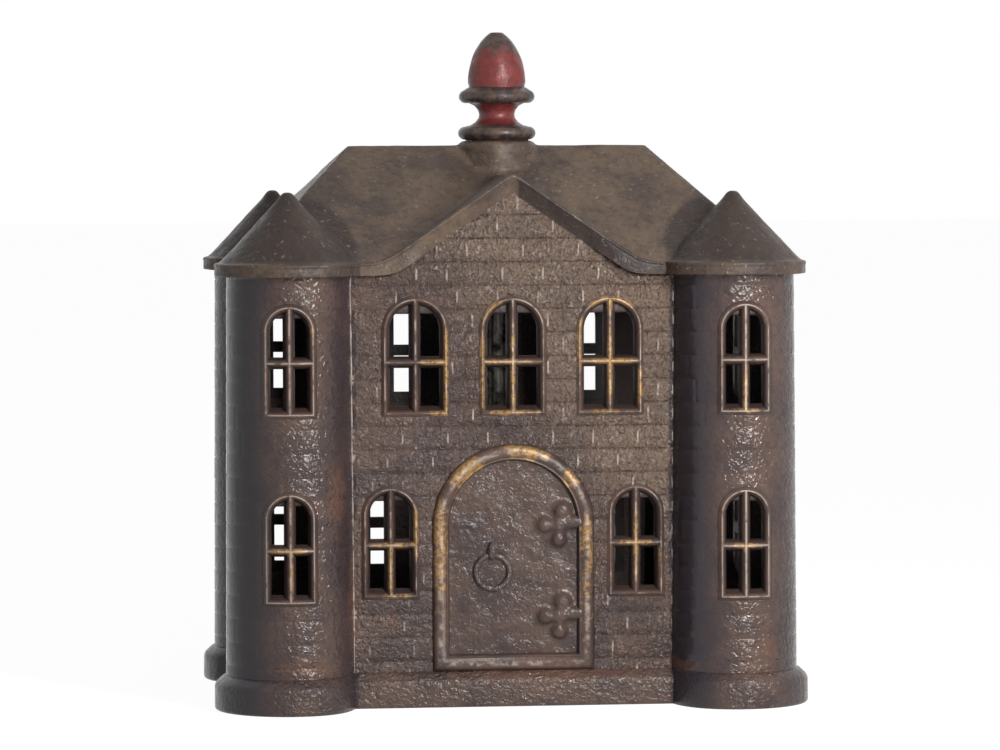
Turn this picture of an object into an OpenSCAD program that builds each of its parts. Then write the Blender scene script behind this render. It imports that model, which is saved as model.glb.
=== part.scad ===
// Cast iron still bank in the shape of a small castle-like house.
// Four wall castings, a roof casting and a base plate are held together by
// one long bolt, and an acorn-shaped nut closes the bolt on top of the roof.
// Origin: centre of the footprint on the ground. Front is -Y, up is +Z.

/* [House] */
// Distance between the axes of the left and right towers
tower_span_x = 92.4; // [70:0.2:120]
// Distance between the axes of the front and rear towers
tower_span_y = 55.4; // [40:0.2:80]
// Radius of a tower at the ground
tower_base_r = 13.3; // [9:0.1:18]
// Radius of a tower under its cap
tower_top_r = 12.7; // [9:0.1:18]
// Distance from the centre to the front of the bay
bay_y = 29.5; // [20:0.1:45]
// Distance from the centre to the outside of a side wall
side_x = 54.2; // [40:0.1:60]
// Height of the walls, up to the underside of the eaves
wall_h = 89.2; // [60:0.1:120]
// Thickness of the castings
wall_t = 2.2; // [1.6:0.1:3.5]

/* [Plinth and base plate] */
// Height of the upright part of the plinth
plinth_edge_h = 5.4; // [3:0.1:9]
// Height of the whole plinth, with its sloping top
plinth_h = 7.4; // [4:0.1:12]
// How far the plinth stands out from the walls
plinth_out = 2.3; // [1:0.1:4]
// Height of the base plate above the ground
plate_z = 3.4; // [3:0.1:5]
// Thickness of the base plate
plate_t = 2.4; // [1.5:0.1:4]
// Width of the inner ledge that rests on the base plate
ledge_w = 1.8; // [1:0.1:3]

/* [Windows] */
// Outer width of an upper window in the bay
upper_w = 13.2; // [9:0.1:16]
// Outer height of an upper window in the bay
upper_h = 24; // [16:0.1:30]
// Height of the upper windows above the ground
upper_z = 60.5; // [50:0.1:64]
// Distance between the upper windows in the bay
upper_step = 20.2; // [16:0.1:24]
// Outer width of a lower window in the bay
lower_w = 11.1; // [8:0.1:14]
// Outer height of a lower window
lower_h = 22.6; // [16:0.1:28]
// Height of the lower windows above the ground
lower_z = 22.8; // [12:0.1:30]
// Distance from the centre to a lower window in the bay
lower_x = 25.5; // [22:0.1:27]
// Outer width of a tower window
tower_win_w = 10.6; // [7:0.1:13]
// Outer height of a tower window
tower_win_h = 22.4; // [16:0.1:28]
// Height of the upper tower windows above the ground
tower_upper_z = 61; // [50:0.1:65]
// Height of a window's crossbar above the foot of its frame
transom_up = 10.6; // [6:0.1:14]
// Width of a window frame
frame_w = 1.5; // [0.8:0.1:2.5]
// How far a window frame stands out from the wall
frame_out = 0.6; // [0.3:0.1:1.2]
// Width of the crossbars
bar_w = 1.25; // [0.8:0.05:2]

/* [Door and coin slot] */
// Outer width of the door frame
door_w = 32.8; // [24:0.2:40]
// Height of the top of the door frame above the ground
door_top = 53.9; // [40:0.1:58]
// Width of the door frame
door_frame_w = 3.2; // [1.5:0.1:5]
// How far the door frame stands out from the wall
door_out = 1.2; // [0.5:0.1:2]
// Length of the coin slot in the rear gable
slot_l = 32; // [24:0.5:36]
// Width of the coin slot
slot_w = 4.4; // [2.5:0.1:5]
// Height of the coin slot above the ground
slot_z = 91; // [89:0.1:94]

/* [Roof] */
// Thickness of the eaves
eave_t = 2.4; // [1.5:0.1:4]
// How far the eaves stand out from the walls
eave_out = 2; // [1:0.1:4]
// Height of the ridge above the ground
ridge_z = 116.1; // [105:0.1:130]
// Half of the length of the ridge
ridge_half = 32.6; // [20:0.1:40]
// Height of the gable's ridge above the ground
gable_z = 110.1; // [100:0.1:114]
// Distance from the centre to the foot of the gable's slope
gable_x = 26.6; // [20:0.1:30]
// Radius of a tower cap at its rim
cap_r = 15.1; // [12:0.1:20]
// Height of the tip of a tower cap above the ground
cap_z = 106.4; // [98:0.1:115]
// Radius of the boss under the finial
boss_r = 7.9; // [5:0.1:10]
// Height of the boss above the ground
boss_z = 116.9; // [116.5:0.1:122]

/* [Bolt and finial] */
// Diameter of the through bolt
bolt_d = 4.76; // [4:0.01:6]
// Height of the end of the bolt above the ground
bolt_top = 126; // [120:0.1:130]
// Diameter of the bolt's head
head_d = 8.4; // [7:0.1:12]
// Height of the bolt's head
head_h = 2.4; // [1.5:0.1:3]
// Clearance on the radius around the bolt in the castings
bolt_clear = 0.32; // [0.3:0.01:1]
// Running clearance on the radius between bolt and finial
thread_clear = 0.07; // [0.02:0.01:0.1]
// Height of the finial
finial_h = 22.9; // [15:0.1:30]

/* [Part] */
// Sub-part to draw

/* [Hidden] */
$fn = 96;
tower_x = tower_span_x / 2;
tower_y = tower_span_y / 2;
// Plane of the seams between the front, side and rear castings
seam_y = bay_y - wall_t - 0.3;
// Distance from the centre to where the ledge behind the bay ends, inside the towers
bay_x = tower_x - tower_top_r / 2;
// Far enough out to pass every wall
reach = 80;
eave_x = side_x + eave_out;
eave_y = bay_y + eave_out;
eave_z = wall_h + eave_t;
// Slopes as rise over run
front_slope = (ridge_z - eave_z) / eave_y;
end_slope = (ridge_z - eave_z) / (eave_x - ridge_half);
gable_slope = (gable_z - eave_z) / gable_x;
// Height of the gable's ridge inside the roof's skin
gable_in_z = gable_z - wall_t * sqrt(1 + pow(gable_slope, 2));
// Height of the gable's moulding, measured upright
trim_h = 3.75;
// Height of the lower edge of the gable's moulding at its tip
trim_z = gable_z - trim_h;
// Gap between the roof casting and the walls
lift_gap = 0.3;
iron = "#4b403b";
iron_light = "#5a4c43";
iron_roof = "#4a4238";
worn_red = "#6e2a25";
steel = "#6b6862";

function tower_r(z) = tower_base_r + (tower_top_r - tower_base_r) * z / wall_h;

// Tower cylinders between two heights, drawn in by inset
module towers(inset, z0, z1) {
    for (sx = [-1, 1], sy = [-1, 1])
        translate([sx * tower_x, sy * tower_y, z0])
            cylinder(h = z1 - z0, r1 = tower_r(z0) - inset, r2 = tower_r(z1) - inset);
}

// Box of the walls between two heights, drawn in by inset
module wall_box(inset, z0, z1) {
    translate([-(side_x - inset), -(bay_y - inset), z0])
        cube([2 * (side_x - inset), 2 * (bay_y - inset), z1 - z0]);
}

module body_solid(inset, z0, z1) {
    wall_box(inset, z0, z1);
    towers(inset, z0, z1);
}

// Prism with its outline in the XZ plane, from y = -half to y = half
module prism_y(points, half) {
    translate([0, half, 0])
        rotate([90, 0, 0])
            linear_extrude(height = 2 * half)
                polygon(points);
}

// Prism with its outline in the YZ plane, from x = -half to x = half
module prism_x(points, half) {
    rotate([0, 0, 90])
        prism_y(points, half);
}

// Outline of the plinth's sloping top, for a wall at distance d
function plinth_slope(d) = [[-d - plinth_out, plinth_edge_h], [d + plinth_out, plinth_edge_h],
                            [d + 0.3, plinth_h], [-d - 0.3, plinth_h]];

module plinth_solid() {
    wall_box(-plinth_out, 0, plinth_edge_h);
    towers(-plinth_out, 0, plinth_edge_h);
    prism_x(plinth_slope(bay_y), tower_x);
    prism_y(plinth_slope(side_x), tower_y);
    for (sx = [-1, 1], sy = [-1, 1])
        translate([sx * tower_x, sy * tower_y, plinth_edge_h])
            cylinder(h = plinth_h - plinth_edge_h, r1 = tower_r(plinth_edge_h) + plinth_out,
                     r2 = tower_r(plinth_h) + 0.3);
}

// Inner ledge that rests on the base plate
module ledge_ring() {
    ledge_z = plate_z + plate_t;
    difference() {
        body_solid(wall_t - 0.5, ledge_z, plinth_h);
        body_solid(wall_t + ledge_w, ledge_z - 1, plinth_h + 1);
    }
}

// Gable fields of the front and rear walls, under the gable's moulding
module gable_field() {
    tip = gable_in_z - 0.5;
    foot = (tip - wall_h + 2) / gable_slope;
    difference() {
        prism_y([[-foot, wall_h - 2], [foot, wall_h - 2], [0, tip]], bay_y);
        prism_y([[-reach, wall_h - 3], [reach, wall_h - 3], [0, tip * 2]], bay_y - wall_t);
    }
}

// The walls all around, before they are parted into castings
module wall_ring() {
    difference() {
        union() {
            body_solid(0, 0, wall_h);
            plinth_solid();
        }
        body_solid(wall_t, -1, wall_h + 1);
    }
    ledge_ring();
    gable_field();
}

// Half-space in front of the front seam, with the whole ledge behind the bay
module front_side() {
    translate([-reach, -reach, -1])
        cube([2 * reach, reach - seam_y, 2 * reach]);
    translate([-bay_x, -reach, -1])
        cube([2 * bay_x, reach - seam_y + 2 * ledge_w, 2 * reach]);
}

// Slab between the seams, on the +X side
module right_side() {
    translate([bay_x, -seam_y, -1])
        cube([reach, 2 * seam_y, 2 * reach]);
}

// Round-headed outline that stands on its foot
module arch(w, h) {
    translate([-w / 2, 0])
        square([w, h - w / 2]);
    translate([0, h - w / 2])
        circle(d = w);
}

// Opening of a window, without its crossbars
module panes(w, h) {
    difference() {
        translate([0, frame_w])
            arch(w - 2 * frame_w, h - 2 * frame_w);
        translate([-bar_w / 2, 0])
            square([bar_w, h]);
        translate([-w / 2, transom_up - bar_w / 2])
            square([w, bar_w]);
    }
}

module frame_ring(w, h) {
    difference() {
        arch(w, h);
        translate([0, frame_w])
            arch(w - 2 * frame_w, h - 2 * frame_w);
    }
}

// Places a 2D child upright in front of the wall, from y = -near to y = -far
module upright(x, z, near, far) {
    translate([x, -near, z])
        rotate([90, 0, 0])
            linear_extrude(height = far - near)
                children();
}

// Cuts of all the windows of a bay and its two towers
module window_cuts() {
    for (i = [-1, 0, 1])
        upright(i * upper_step, upper_z, seam_y - 2, reach)
            panes(upper_w, upper_h);
    for (s = [-1, 1])
        upright(s * lower_x, lower_z, seam_y - 2, reach)
            panes(lower_w, lower_h);
    for (s = [-1, 1], z = [tower_upper_z, lower_z])
        upright(s * tower_x, z, tower_y, reach)
            panes(tower_win_w, tower_win_h);
}

// Raised frames of the windows of a bay
module bay_frames() {
    for (i = [-1, 0, 1])
        upright(i * upper_step, upper_z, bay_y - 0.5, bay_y + frame_out)
            frame_ring(upper_w, upper_h);
    for (s = [-1, 1])
        upright(s * lower_x, lower_z, bay_y - 0.5, bay_y + frame_out)
            frame_ring(lower_w, lower_h);
}

// Raised frames that follow the round of the towers
module tower_frames() {
    for (s = [-1, 1], z = [tower_upper_z, lower_z])
        intersection() {
            upright(s * tower_x, z, tower_y, reach)
                frame_ring(tower_win_w, tower_win_h);
            difference() {
                towers(-frame_out, z - 1, z + tower_win_h + 1);
                towers(0.5, z - 2, z + tower_win_h + 2);
            }
        }
}

// Wall casting with windows, as it stands in front
module windowed_wall() {
    difference() {
        union() {
            intersection() {
                wall_ring();
                front_side();
            }
            bay_frames();
            tower_frames();
        }
        window_cuts();
    }
}

// Cast relief of the door: frame, sill, ring handle, stud and hinge ends
module door_relief() {
    spring = door_top - door_w / 2;
    inner_w = door_w - 2 * door_frame_w;
    foot = plinth_h - 1;
    sill_h = 4.6;
    sill_over = 0.6;
    ring_r = 3.9;
    ring_hole_r = 2.95;
    ring_x = -4.3;
    ring_z = 27.8;
    hinge_x = 9.7;
    lobe_r = 1.4;
    upright(0, foot, bay_y - 0.5, bay_y + door_out)
        difference() {
            arch(door_w, door_top - foot);
            translate([0, -1])
                arch(inner_w, spring + inner_w / 2 - foot + 1);
        }
    upright(0, foot, bay_y - 0.5, bay_y + door_out)
        translate([-door_w / 2 - sill_over, 0])
            square([door_w + 2 * sill_over, sill_h]);
    upright(ring_x, ring_z, bay_y - 0.5, bay_y + 0.9)
        difference() {
            circle(r = ring_r);
            circle(r = ring_hole_r);
        }
    upright(ring_x - 0.4, ring_z + ring_r + 0.2, bay_y - 0.5, bay_y + 1.1)
        circle(r = 1);
    for (z = [18.3, 37.6])
        upright(hinge_x, z, bay_y - 0.5, bay_y + 0.6) {
            for (a = [0, 90, 180, 270])
                rotate(a)
                    translate([1.9, 0])
                        circle(r = lobe_r);
            square(2 * lobe_r, center = true);
        }
}

module front_wall() {
    color(iron) {
        windowed_wall();
        door_relief();
    }
}

module rear_wall() {
    color(iron)
        difference() {
            mirror([0, 1, 0])
                windowed_wall();
            translate([-slot_l / 2, 0, slot_z - slot_w / 2])
                cube([slot_l, reach, slot_w]);
        }
}

// Right side wall with the outer quarters of its two towers
module side_casting() {
    difference() {
        union() {
            intersection() {
                wall_ring();
                right_side();
            }
            for (z = [upper_z, lower_z])
                rotate([0, 0, 90])
                    upright(0, z, side_x - 0.5, side_x + frame_out)
                        frame_ring(upper_w, lower_h);
        }
        for (z = [upper_z, lower_z])
            rotate([0, 0, 90])
                upright(0, z, side_x - wall_t - 2, reach)
                    panes(upper_w, lower_h);
    }
}

module right_wall() {
    color(iron_light)
        side_casting();
}

module left_wall() {
    color(iron_light)
        mirror([1, 0, 0])
            side_casting();
}

// Hipped block of the main roof with the eaves under it, its skin drawn in by
// inset; the block goes down to z0
module hip_block(inset, z0) {
    drop_front = inset * sqrt(1 + pow(front_slope, 2));
    drop_end = inset * sqrt(1 + pow(end_slope, 2));
    top = ridge_z - drop_front;
    foot_y = eave_y - drop_front / front_slope;
    foot_x = eave_x - drop_end / end_slope;
    top_x = foot_x - (top - eave_z) / end_slope;
    intersection() {
        prism_x([[-foot_y, z0], [foot_y, z0], [foot_y, eave_z], [0.5, top], [-0.5, top],
                 [-foot_y, eave_z]], reach);
        prism_y([[-foot_x, z0], [foot_x, z0], [foot_x, eave_z], [top_x, top], [-top_x, top],
                 [-foot_x, eave_z]], reach);
    }
}

// Outside of a tower cap: a rim with rounded edges and a cone with a blunt tip
module cap_outside() {
    edge = 0.5;
    rotate_extrude()
        polygon([[0, wall_h], [cap_r - edge, wall_h], [cap_r, wall_h + edge],
                 [cap_r, eave_z - edge], [cap_r - edge, eave_z], [cap_r - 1.1, eave_z + 0.3],
                 [2.1, cap_z - 1.5], [1.4, cap_z - 0.5], [0.6, cap_z], [0, cap_z]]);
}

// Hollow of a tower cap
module cap_inside() {
    cap_slope = (cap_z - 1.5 - eave_z) / (cap_r - 3.2);
    inner_r = cap_r - 3.9;
    tip_r = 0.6;
    rotate_extrude()
        polygon([[0, wall_h - 1], [inner_r, wall_h - 1], [inner_r, eave_z],
                 [tip_r, eave_z + cap_slope * (inner_r - tip_r)],
                 [0, eave_z + cap_slope * (inner_r - tip_r)]]);
}

module at_towers() {
    for (sx = [-1, 1], sy = [-1, 1])
        translate([sx * tower_x, sy * tower_y, 0])
            children();
}

// Lugs under the roof that keep it in place on the walls
module roof_lugs() {
    lug_t = 1.5;
    lug_z = wall_h - 3;
    lug_top = eave_z + 3;
    for (s = [-1, 1])
        translate([s * (side_x - wall_t - lift_gap - lug_t / 2), 0, (lug_z + lug_top) / 2])
            cube([lug_t, 8, lug_top - lug_z], center = true);
    for (sx = [-1, 1], sy = [-1, 1])
        translate([sx * 30, sy * (bay_y - wall_t - lift_gap - lug_t / 2), (lug_z + lug_top - 0.4) / 2])
            cube([4, lug_t, lug_top - lug_z - 0.4], center = true);
}

module roof_outside() {
    hip_block(0, wall_h);
    prism_y([[-gable_x, wall_h + 1], [gable_x, wall_h + 1], [gable_x, eave_z], [0, gable_z],
             [-gable_x, eave_z]], eave_y);
    at_towers()
        cap_outside();
    translate([0, 0, ridge_z - 15])
        cylinder(h = boss_z - ridge_z + 15, r = boss_r);
}

module roof_inside() {
    inner_foot = (gable_in_z - wall_h + 1) / gable_slope;
    trim_foot = (trim_z - wall_h + 1) / gable_slope;
    hip_block(wall_t, wall_h - 1);
    prism_y([[-inner_foot, wall_h - 1], [inner_foot, wall_h - 1], [0, gable_in_z]], bay_y + lift_gap);
    prism_y([[-trim_foot, wall_h - 1], [trim_foot, wall_h - 1], [0, trim_z]], reach);
    at_towers()
        cap_inside();
}

module roof() {
    core_h = boss_z - 104;
    color(iron_roof)
        difference() {
            union() {
                difference() {
                    roof_outside();
                    roof_inside();
                }
                roof_lugs();
                translate([0, 0, boss_z - core_h])
                    cylinder(h = core_h - 1, r = 5.2);
            }
            translate([0, 0, 100])
                cylinder(h = 20, r = bolt_d / 2 + bolt_clear);
        }
}

// Rounded ring of the finial: outline of a disc with a half-round edge
module ring_edge(r, z, h) {
    translate([0, z])
        square([r - h / 2, h]);
    translate([r - h / 2, z + h / 2])
        circle(d = h);
}

module finial() {
    bore_h = 9.8;
    color(worn_red)
        translate([0, 0, boss_z])
            difference() {
                rotate_extrude()
                    intersection() {
                        square([12, finial_h]);
                        union() {
                            polygon([[0, 0], [7.2, 0], [7.4, 0.4], [4.9, 2.6], [4.1, 3.9], [3.8, 5.2],
                                     [4.1, 6.4], [5, 8], [6.7, 10.6], [6.7, 11.2], [6, 11.5],
                                     [6.13, 12.2], [5.97, 14.4], [5.5, 16.7], [4.6, 19],
                                     [3.05, 21.4], [1.45, 22.7], [1.2, finial_h], [0, finial_h]]);
                            ring_edge(8.2, 0.2, 2.7);
                            ring_edge(8.05, 7.9, 2.9);
                        }
                    }
                translate([0, 0, -1])
                    cylinder(h = bore_h + 1, r = bolt_d / 2 + thread_clear);
            }
}

module through_bolt() {
    slot_depth = 1.1;
    tip = 0.8;
    color(steel) {
        difference() {
            translate([0, 0, plate_z - head_h])
                cylinder(h = head_h, d = head_d);
            translate([-head_d, -0.6, plate_z - head_h - 1])
                cube([2 * head_d, 1.2, slot_depth + 1]);
        }
        translate([0, 0, plate_z - 0.01])
            cylinder(h = bolt_top - tip - plate_z + 0.01, d = bolt_d);
        translate([0, 0, bolt_top - tip])
            cylinder(h = tip, d1 = bolt_d, d2 = bolt_d - 1.4);
    }
}

module base_plate() {
    edge_gap = 0.3;
    pad_r = 8;
    color(iron)
        difference() {
            union() {
                body_solid(wall_t + edge_gap, plate_z, plate_z + plate_t);
                translate([0, 0, plate_z + plate_t - 0.01])
                    cylinder(h = 1.6, r = pad_r);
            }
            translate([0, 0, plate_z - 1])
                cylinder(h = plate_t + 5, r = bolt_d / 2 + bolt_clear);
        }
}

front_wall();
left_wall();
right_wall();
rear_wall();
roof();
finial();
through_bolt();
base_plate();
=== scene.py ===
"""Cast iron coin bank shaped like a small castle house, with its brickwork, windows, door and roof.

The walls are flat strips of brick courses that are bent round the towers and the bay.
Every piece is in metres, with the door facing -Y and the ground at z = 0.
"""

import math
import random

import bmesh
import bpy
from bpy.props import FloatProperty, FloatVectorProperty, IntProperty, PointerProperty
from mathutils import Matrix, Vector, noise


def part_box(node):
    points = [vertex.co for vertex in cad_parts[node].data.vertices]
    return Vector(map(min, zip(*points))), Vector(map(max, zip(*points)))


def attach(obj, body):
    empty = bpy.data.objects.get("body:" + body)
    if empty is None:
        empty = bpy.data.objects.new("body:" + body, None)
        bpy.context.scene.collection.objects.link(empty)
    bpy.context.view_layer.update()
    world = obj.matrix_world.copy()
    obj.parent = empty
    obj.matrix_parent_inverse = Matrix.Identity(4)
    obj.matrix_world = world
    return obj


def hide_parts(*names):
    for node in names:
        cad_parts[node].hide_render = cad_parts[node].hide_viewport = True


bl_info = {
    "name": "Cast iron house bank",
    "version": (1, 0, 0),
    "blender": (4, 5, 0),
    "location": "3D View > Sidebar > House bank",
    "description": "Builds a cast iron coin bank in the shape of a small castle house",
    "category": "Add Mesh",
}

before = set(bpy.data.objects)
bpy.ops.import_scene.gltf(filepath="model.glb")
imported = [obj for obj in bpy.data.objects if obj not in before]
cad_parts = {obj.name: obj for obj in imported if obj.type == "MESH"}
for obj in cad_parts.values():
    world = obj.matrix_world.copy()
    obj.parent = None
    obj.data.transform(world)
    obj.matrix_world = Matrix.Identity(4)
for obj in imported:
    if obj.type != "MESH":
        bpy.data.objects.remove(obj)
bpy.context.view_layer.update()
MM = 0.001
MERGE = 0.002 * MM
ROOF_CLEARANCE = 0.32 * MM
THREAD_CLEARANCE = 0.07 * MM
THREAD_DEPTH = 0.45 * MM
CORNERS = [(sx, sy) for sx in (-1, 1) for sy in (-1, 1)]

# Heights that the frame settles
WALL_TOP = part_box("left_wall")[1].z
GABLE_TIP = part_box("front_wall")[1].z
ROOF_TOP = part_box("roof")[1].z
FINIAL_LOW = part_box("finial")[0].z
BOLT_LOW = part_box("through_bolt")[0].z
BOLT_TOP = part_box("through_bolt")[1].z


def length(name, text, value):
    """Property for a length in metres, given in millimetres."""
    return FloatProperty(name=name, description=text, default=value * MM,
                         subtype="DISTANCE", unit="LENGTH")


def colour(name, text, value):
    """Property for a linear colour."""
    return FloatVectorProperty(name=name, description=text, default=value,
                               size=3, subtype="COLOR", min=0, max=1)


def whole_number(name, text, value, low, high):
    """Property for a number of things."""
    return IntProperty(name=name, description=text, default=value, min=low, max=high)


class HouseSizes(bpy.types.PropertyGroup):
    """Plan of the house and the thickness of its castings."""

    tower_x: length("Tower across", "Distance from the centre to a tower's axis, across", 46.2)
    tower_y: length("Tower deep", "Distance from the centre to a tower's axis, front to back", 27.7)
    tower_base_r: length("Tower foot radius", "Radius of a tower at the ground", 13.3)
    tower_top_r: length("Tower top radius", "Radius of a tower under its cap", 12.7)
    bay_y: length("Bay front", "Distance from the centre to the front of the bay", 29.5)
    side_x: length("Side wall", "Distance from the centre to the outside of a side wall", 54.2)
    wall_t: length("Wall thickness", "Thickness of the castings", 2.2)
    seam: length("Seam", "Distance from the centre to the seams of the front and rear castings", 27.0)
    plinth_edge: length("Plinth edge", "Height of the upright part of the plinth", 5.5)
    plinth_h: length("Plinth height", "Height of the whole plinth", 7.4)
    plinth_out: length("Plinth reach", "How far the plinth stands out from the walls", 2.3)
    ledge: length("Ledge", "Width of the ledge inside the walls that carries the base plate", 1.8)


class BrickSizes(bpy.types.PropertyGroup):
    """Courses and bricks of the walls."""

    course: length("Course", "Height of a course of bricks", 4.85)
    first: length("First course", "Height of the foot of the first course, behind the plinth", 4.65)
    column: length("Column", "Width of the columns that bricks are counted in", 1.04)
    joint: length("Joint", "Half of the width of a joint between bricks", 0.1)
    slope: length("Brick edge", "Width of the rounded edge of a brick", 0.16)
    relief: length("Relief", "How far a brick stands out of its joints", 0.2)
    shortest: whole_number("Shortest brick", "Fewest columns in a brick", 6, 3, 12)
    longest: whole_number("Longest brick", "Most columns in a brick", 11, 5, 20)


class OpeningSizes(bpy.types.PropertyGroup):
    """Windows, door and coin slot."""

    upper_w: length("Upper window width", "Width of an upper window of the bay over its moulding", 13.2)
    upper_h: length("Upper window height", "Height of an upper window of the bay", 24.0)
    upper_z: length("Upper window foot", "Height of the foot of the upper windows", 60.5)
    upper_step: length("Upper window step", "Distance between the upper windows", 20.2)
    rear_shift: length("Rear shift", "How far the rear bay's windows lie to one side", 0.9)
    lower_w: length("Lower window width", "Width of a lower window of the bay", 11.1)
    lower_h: length("Lower window height", "Height of a lower window", 22.6)
    lower_z: length("Lower window foot", "Height of the foot of the lower windows", 22.8)
    lower_x: length("Lower window place", "Distance from the centre to a lower window", 25.5)
    tower_w: length("Tower window width", "Width of a tower window", 10.3)
    tower_out: length("Tower window place", "How far a tower window lies outside the tower's axis", 0.6)
    tower_h: length("Tower window height", "Height of a tower window", 22.4)
    tower_z: length("Tower window foot", "Height of the foot of the upper tower windows", 61.0)
    crossbar: length("Crossbar", "Height of the crossbar above the foot of its window", 10.8)
    ridge: length("Bar ridge", "Width of the ridge on a window bar", 0.3)
    flare: length("Outer slope", "Width of the slope round a frame", 0.65)
    stand: length("Frame relief", "How far a window frame stands out from the wall", 0.6)
    door_w: length("Door width", "Outer width of the door frame", 32.8)
    door_top: length("Door top", "Height of the top of the door frame", 53.9)
    door_foot: length("Door foot", "Height of the foot of the door frame", 7.7)
    leaf: length("Door depth", "How far the door lies behind the face of the wall", 0.55)
    slot_l: length("Slot length", "Length of the coin slot", 32.0)
    slot_w: length("Slot width", "Width of the coin slot", 4.4)
    slot_z: length("Slot height", "Height of the coin slot above the ground", 91.0)


class RoofSizes(bpy.types.PropertyGroup):
    """Roof, gables, tower caps and boss."""

    eave_t: length("Eave thickness", "Thickness of the eaves", 2.4)
    eave_out: length("Eave overhang", "How far the eaves stand out from the walls", 2.0)
    ridge_z: length("Ridge height", "Height of the ridge above the ground", 116.1)
    ridge_half: length("Half ridge", "Half of the length of the ridge", 31.6)
    gable_z: length("Gable height", "Height of the gable's ridge above the ground", 110.1)
    gable_x: length("Gable foot", "Distance from the centre to the foot of the gable's slope", 26.6)
    trim_h: length("Gable moulding", "Height of the gable's moulding, measured upright", 3.9)
    cap_r: length("Cap radius", "Radius of a tower cap at its rim", 15.1)
    cap_z: length("Cap tip", "Height of the tip of a tower cap", 106.4)
    boss_r: length("Boss radius", "Radius of the boss under the finial", 7.9)
    voxel: length("Skin grain", "Size of the grain that the cast skin is worked in", 0.6)


class FinialSizes(bpy.types.PropertyGroup):
    """Acorn nut."""

    foot_r: length("Lower ring", "Radius of the lower ring", 8.2)
    cup_r: length("Upper ring", "Radius of the upper ring", 8.05)
    neck_r: length("Neck", "Radius of the neck", 3.75)
    acorn_r: length("Acorn", "Greatest radius of the acorn", 6.13)
    acorn_h: length("Finial height", "Height of the finial", 22.9)


class BoltSizes(bpy.types.PropertyGroup):
    """Through bolt."""

    bolt_d: length("Bolt diameter", "Diameter of the through bolt over its thread", 4.76)
    head_d: length("Head diameter", "Diameter of the bolt's head", 8.4)
    head_h: length("Head height", "Height of the bolt's head", 2.4)
    pitch: length("Pitch", "Distance between two turns of the thread", 1.0583)
    thread_l: length("Thread length", "Length of the threaded end of the bolt", 18.0)


class Finishes(bpy.types.PropertyGroup):
    """Colours of the worn iron, gilt and paint, and of the painted shade, sheen and highlights."""

    iron: colour("Iron", "Worn japan on the walls", (0.112, 0.068, 0.052))
    iron_dark: colour("Dark iron", "Grime and shaded japan", (0.030, 0.021, 0.020))
    # Dark blue japan; also painted as shade on the tower flanks and the left wall
    blue_iron_and_flank_shade: colour("Blue iron", "Japan that is still whole", (0.026, 0.021, 0.027))
    iron_roof: colour("Roof iron", "Worn japan on the roof", (0.140, 0.098, 0.069))
    # Iron rubbed bare, also used as a painted sheen where the bricks are coarse
    bare_iron_and_sheen: colour("Bare iron", "Iron rubbed bare on the coarse bricks", (0.215, 0.150, 0.108))
    rust: colour("Rust", "Thin brown rust", (0.135, 0.066, 0.040))
    raw: colour("Raw iron", "Inside of the castings", (0.17, 0.13, 0.12))
    # Light colour of bare metal, also used for painted highlights on bumps, ribs and ridges
    glint: colour("Glint", "Metal that shows on high spots", (0.50, 0.42, 0.36))
    gilt: colour("Gilt", "Old bronze paint on frames", (0.41, 0.24, 0.086))
    red: colour("Red", "Worn red paint", (0.18, 0.030, 0.026))
    red_dark: colour("Dark red", "Red paint under grime", (0.12, 0.022, 0.022))
    steel: colour("Steel", "Bolt steel", (0.30, 0.27, 0.24))


def house():
    return bpy.context.scene.bank_house


def bricks():
    return bpy.context.scene.bank_bricks


def openings():
    return bpy.context.scene.bank_openings


def roofing():
    return bpy.context.scene.bank_roof


def finial_sizes():
    return bpy.context.scene.bank_finial


def bolt_sizes():
    return bpy.context.scene.bank_bolt


def finishes():
    return bpy.context.scene.bank_finishes


# Lamps: azimuth and elevation in degrees, distance, width and height in metres, power in watts
KEY_LIGHT = (22, 15, 0.36, 0.035, 0.2, 1.35)
FRONT_LIGHT = (10, 30, 1.3, 0.7, 0.7, 1.2)
ALL_ROUND_LEVEL = 0.11

# Half width of the front, in millimetres, up to where its traces are listed
FRONT_REACH = 62
# Places on the front, in millimetres: across, up, half width, half height
GILT_TRACES = (
    (-15.3, 30, 2.6, 17), (-10.5, 49, 5.5, 5), (4, 53.5, 8, 3.2), (15.4, 33, 2.4, 9), (12, 47, 2.5, 2.5),
    (-14.2, 70, 1.3, 12), (-16.5, 71.3, 4, 1.2), (-15.5, 60.9, 3.4, 1.3), (-6, 69, 1.3, 11), (-4, 82, 3, 3),
    (0, 70, 1, 12), (0, 71.3, 7, 1.2), (0, 60.9, 7, 1.3), (14.2, 75, 1.3, 7), (20.2, 83, 6.5, 2.6),
    (20.2, 71, 1, 11), (20.2, 71.3, 6.5, 1.2), (19, 60.9, 4, 1.2), (26.2, 66, 1.2, 5), (-20.4, 36, 1.3, 7),
    (-25.5, 33.6, 4.5, 1.3), (-24, 23, 4, 1.2), (-25.5, 28, 1, 6), (25.5, 33.6, 4, 1.2), (25.5, 34, 1, 9),
    (-46.2, 28, 1, 5), (-46, 33.6, 4, 1.2), (-50, 30, 1.2, 6), (29.8, 30, 1.2, 4), (46.8, 66, 1, 6),
    (47, 62, 4, 1.3), (46.8, 33.6, 4, 1), (-43, 78, 2, 2.4),
)
RUST_TRACES = (
    (-33.0, 22, 2.2, 14), (-24.9, 18.4, 2.2, 1.8), (-44, 9.5, 9, 2.4), (-37, 45, 2.5, 9), (33.5, 8.5, 7, 1.6),
    (10, 6.5, 24, 1.6), (-8, 62, 3, 3), (52, 12, 3, 5),
)


# Mesh helpers

def new_object(bm, name):
    """Object that holds a bmesh, in the scene's collection."""
    mesh = bpy.data.meshes.new(name)
    bm.to_mesh(mesh)
    bm.free()
    obj = bpy.data.objects.new(name, mesh)
    bpy.context.scene.collection.objects.link(obj)
    return obj


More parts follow.
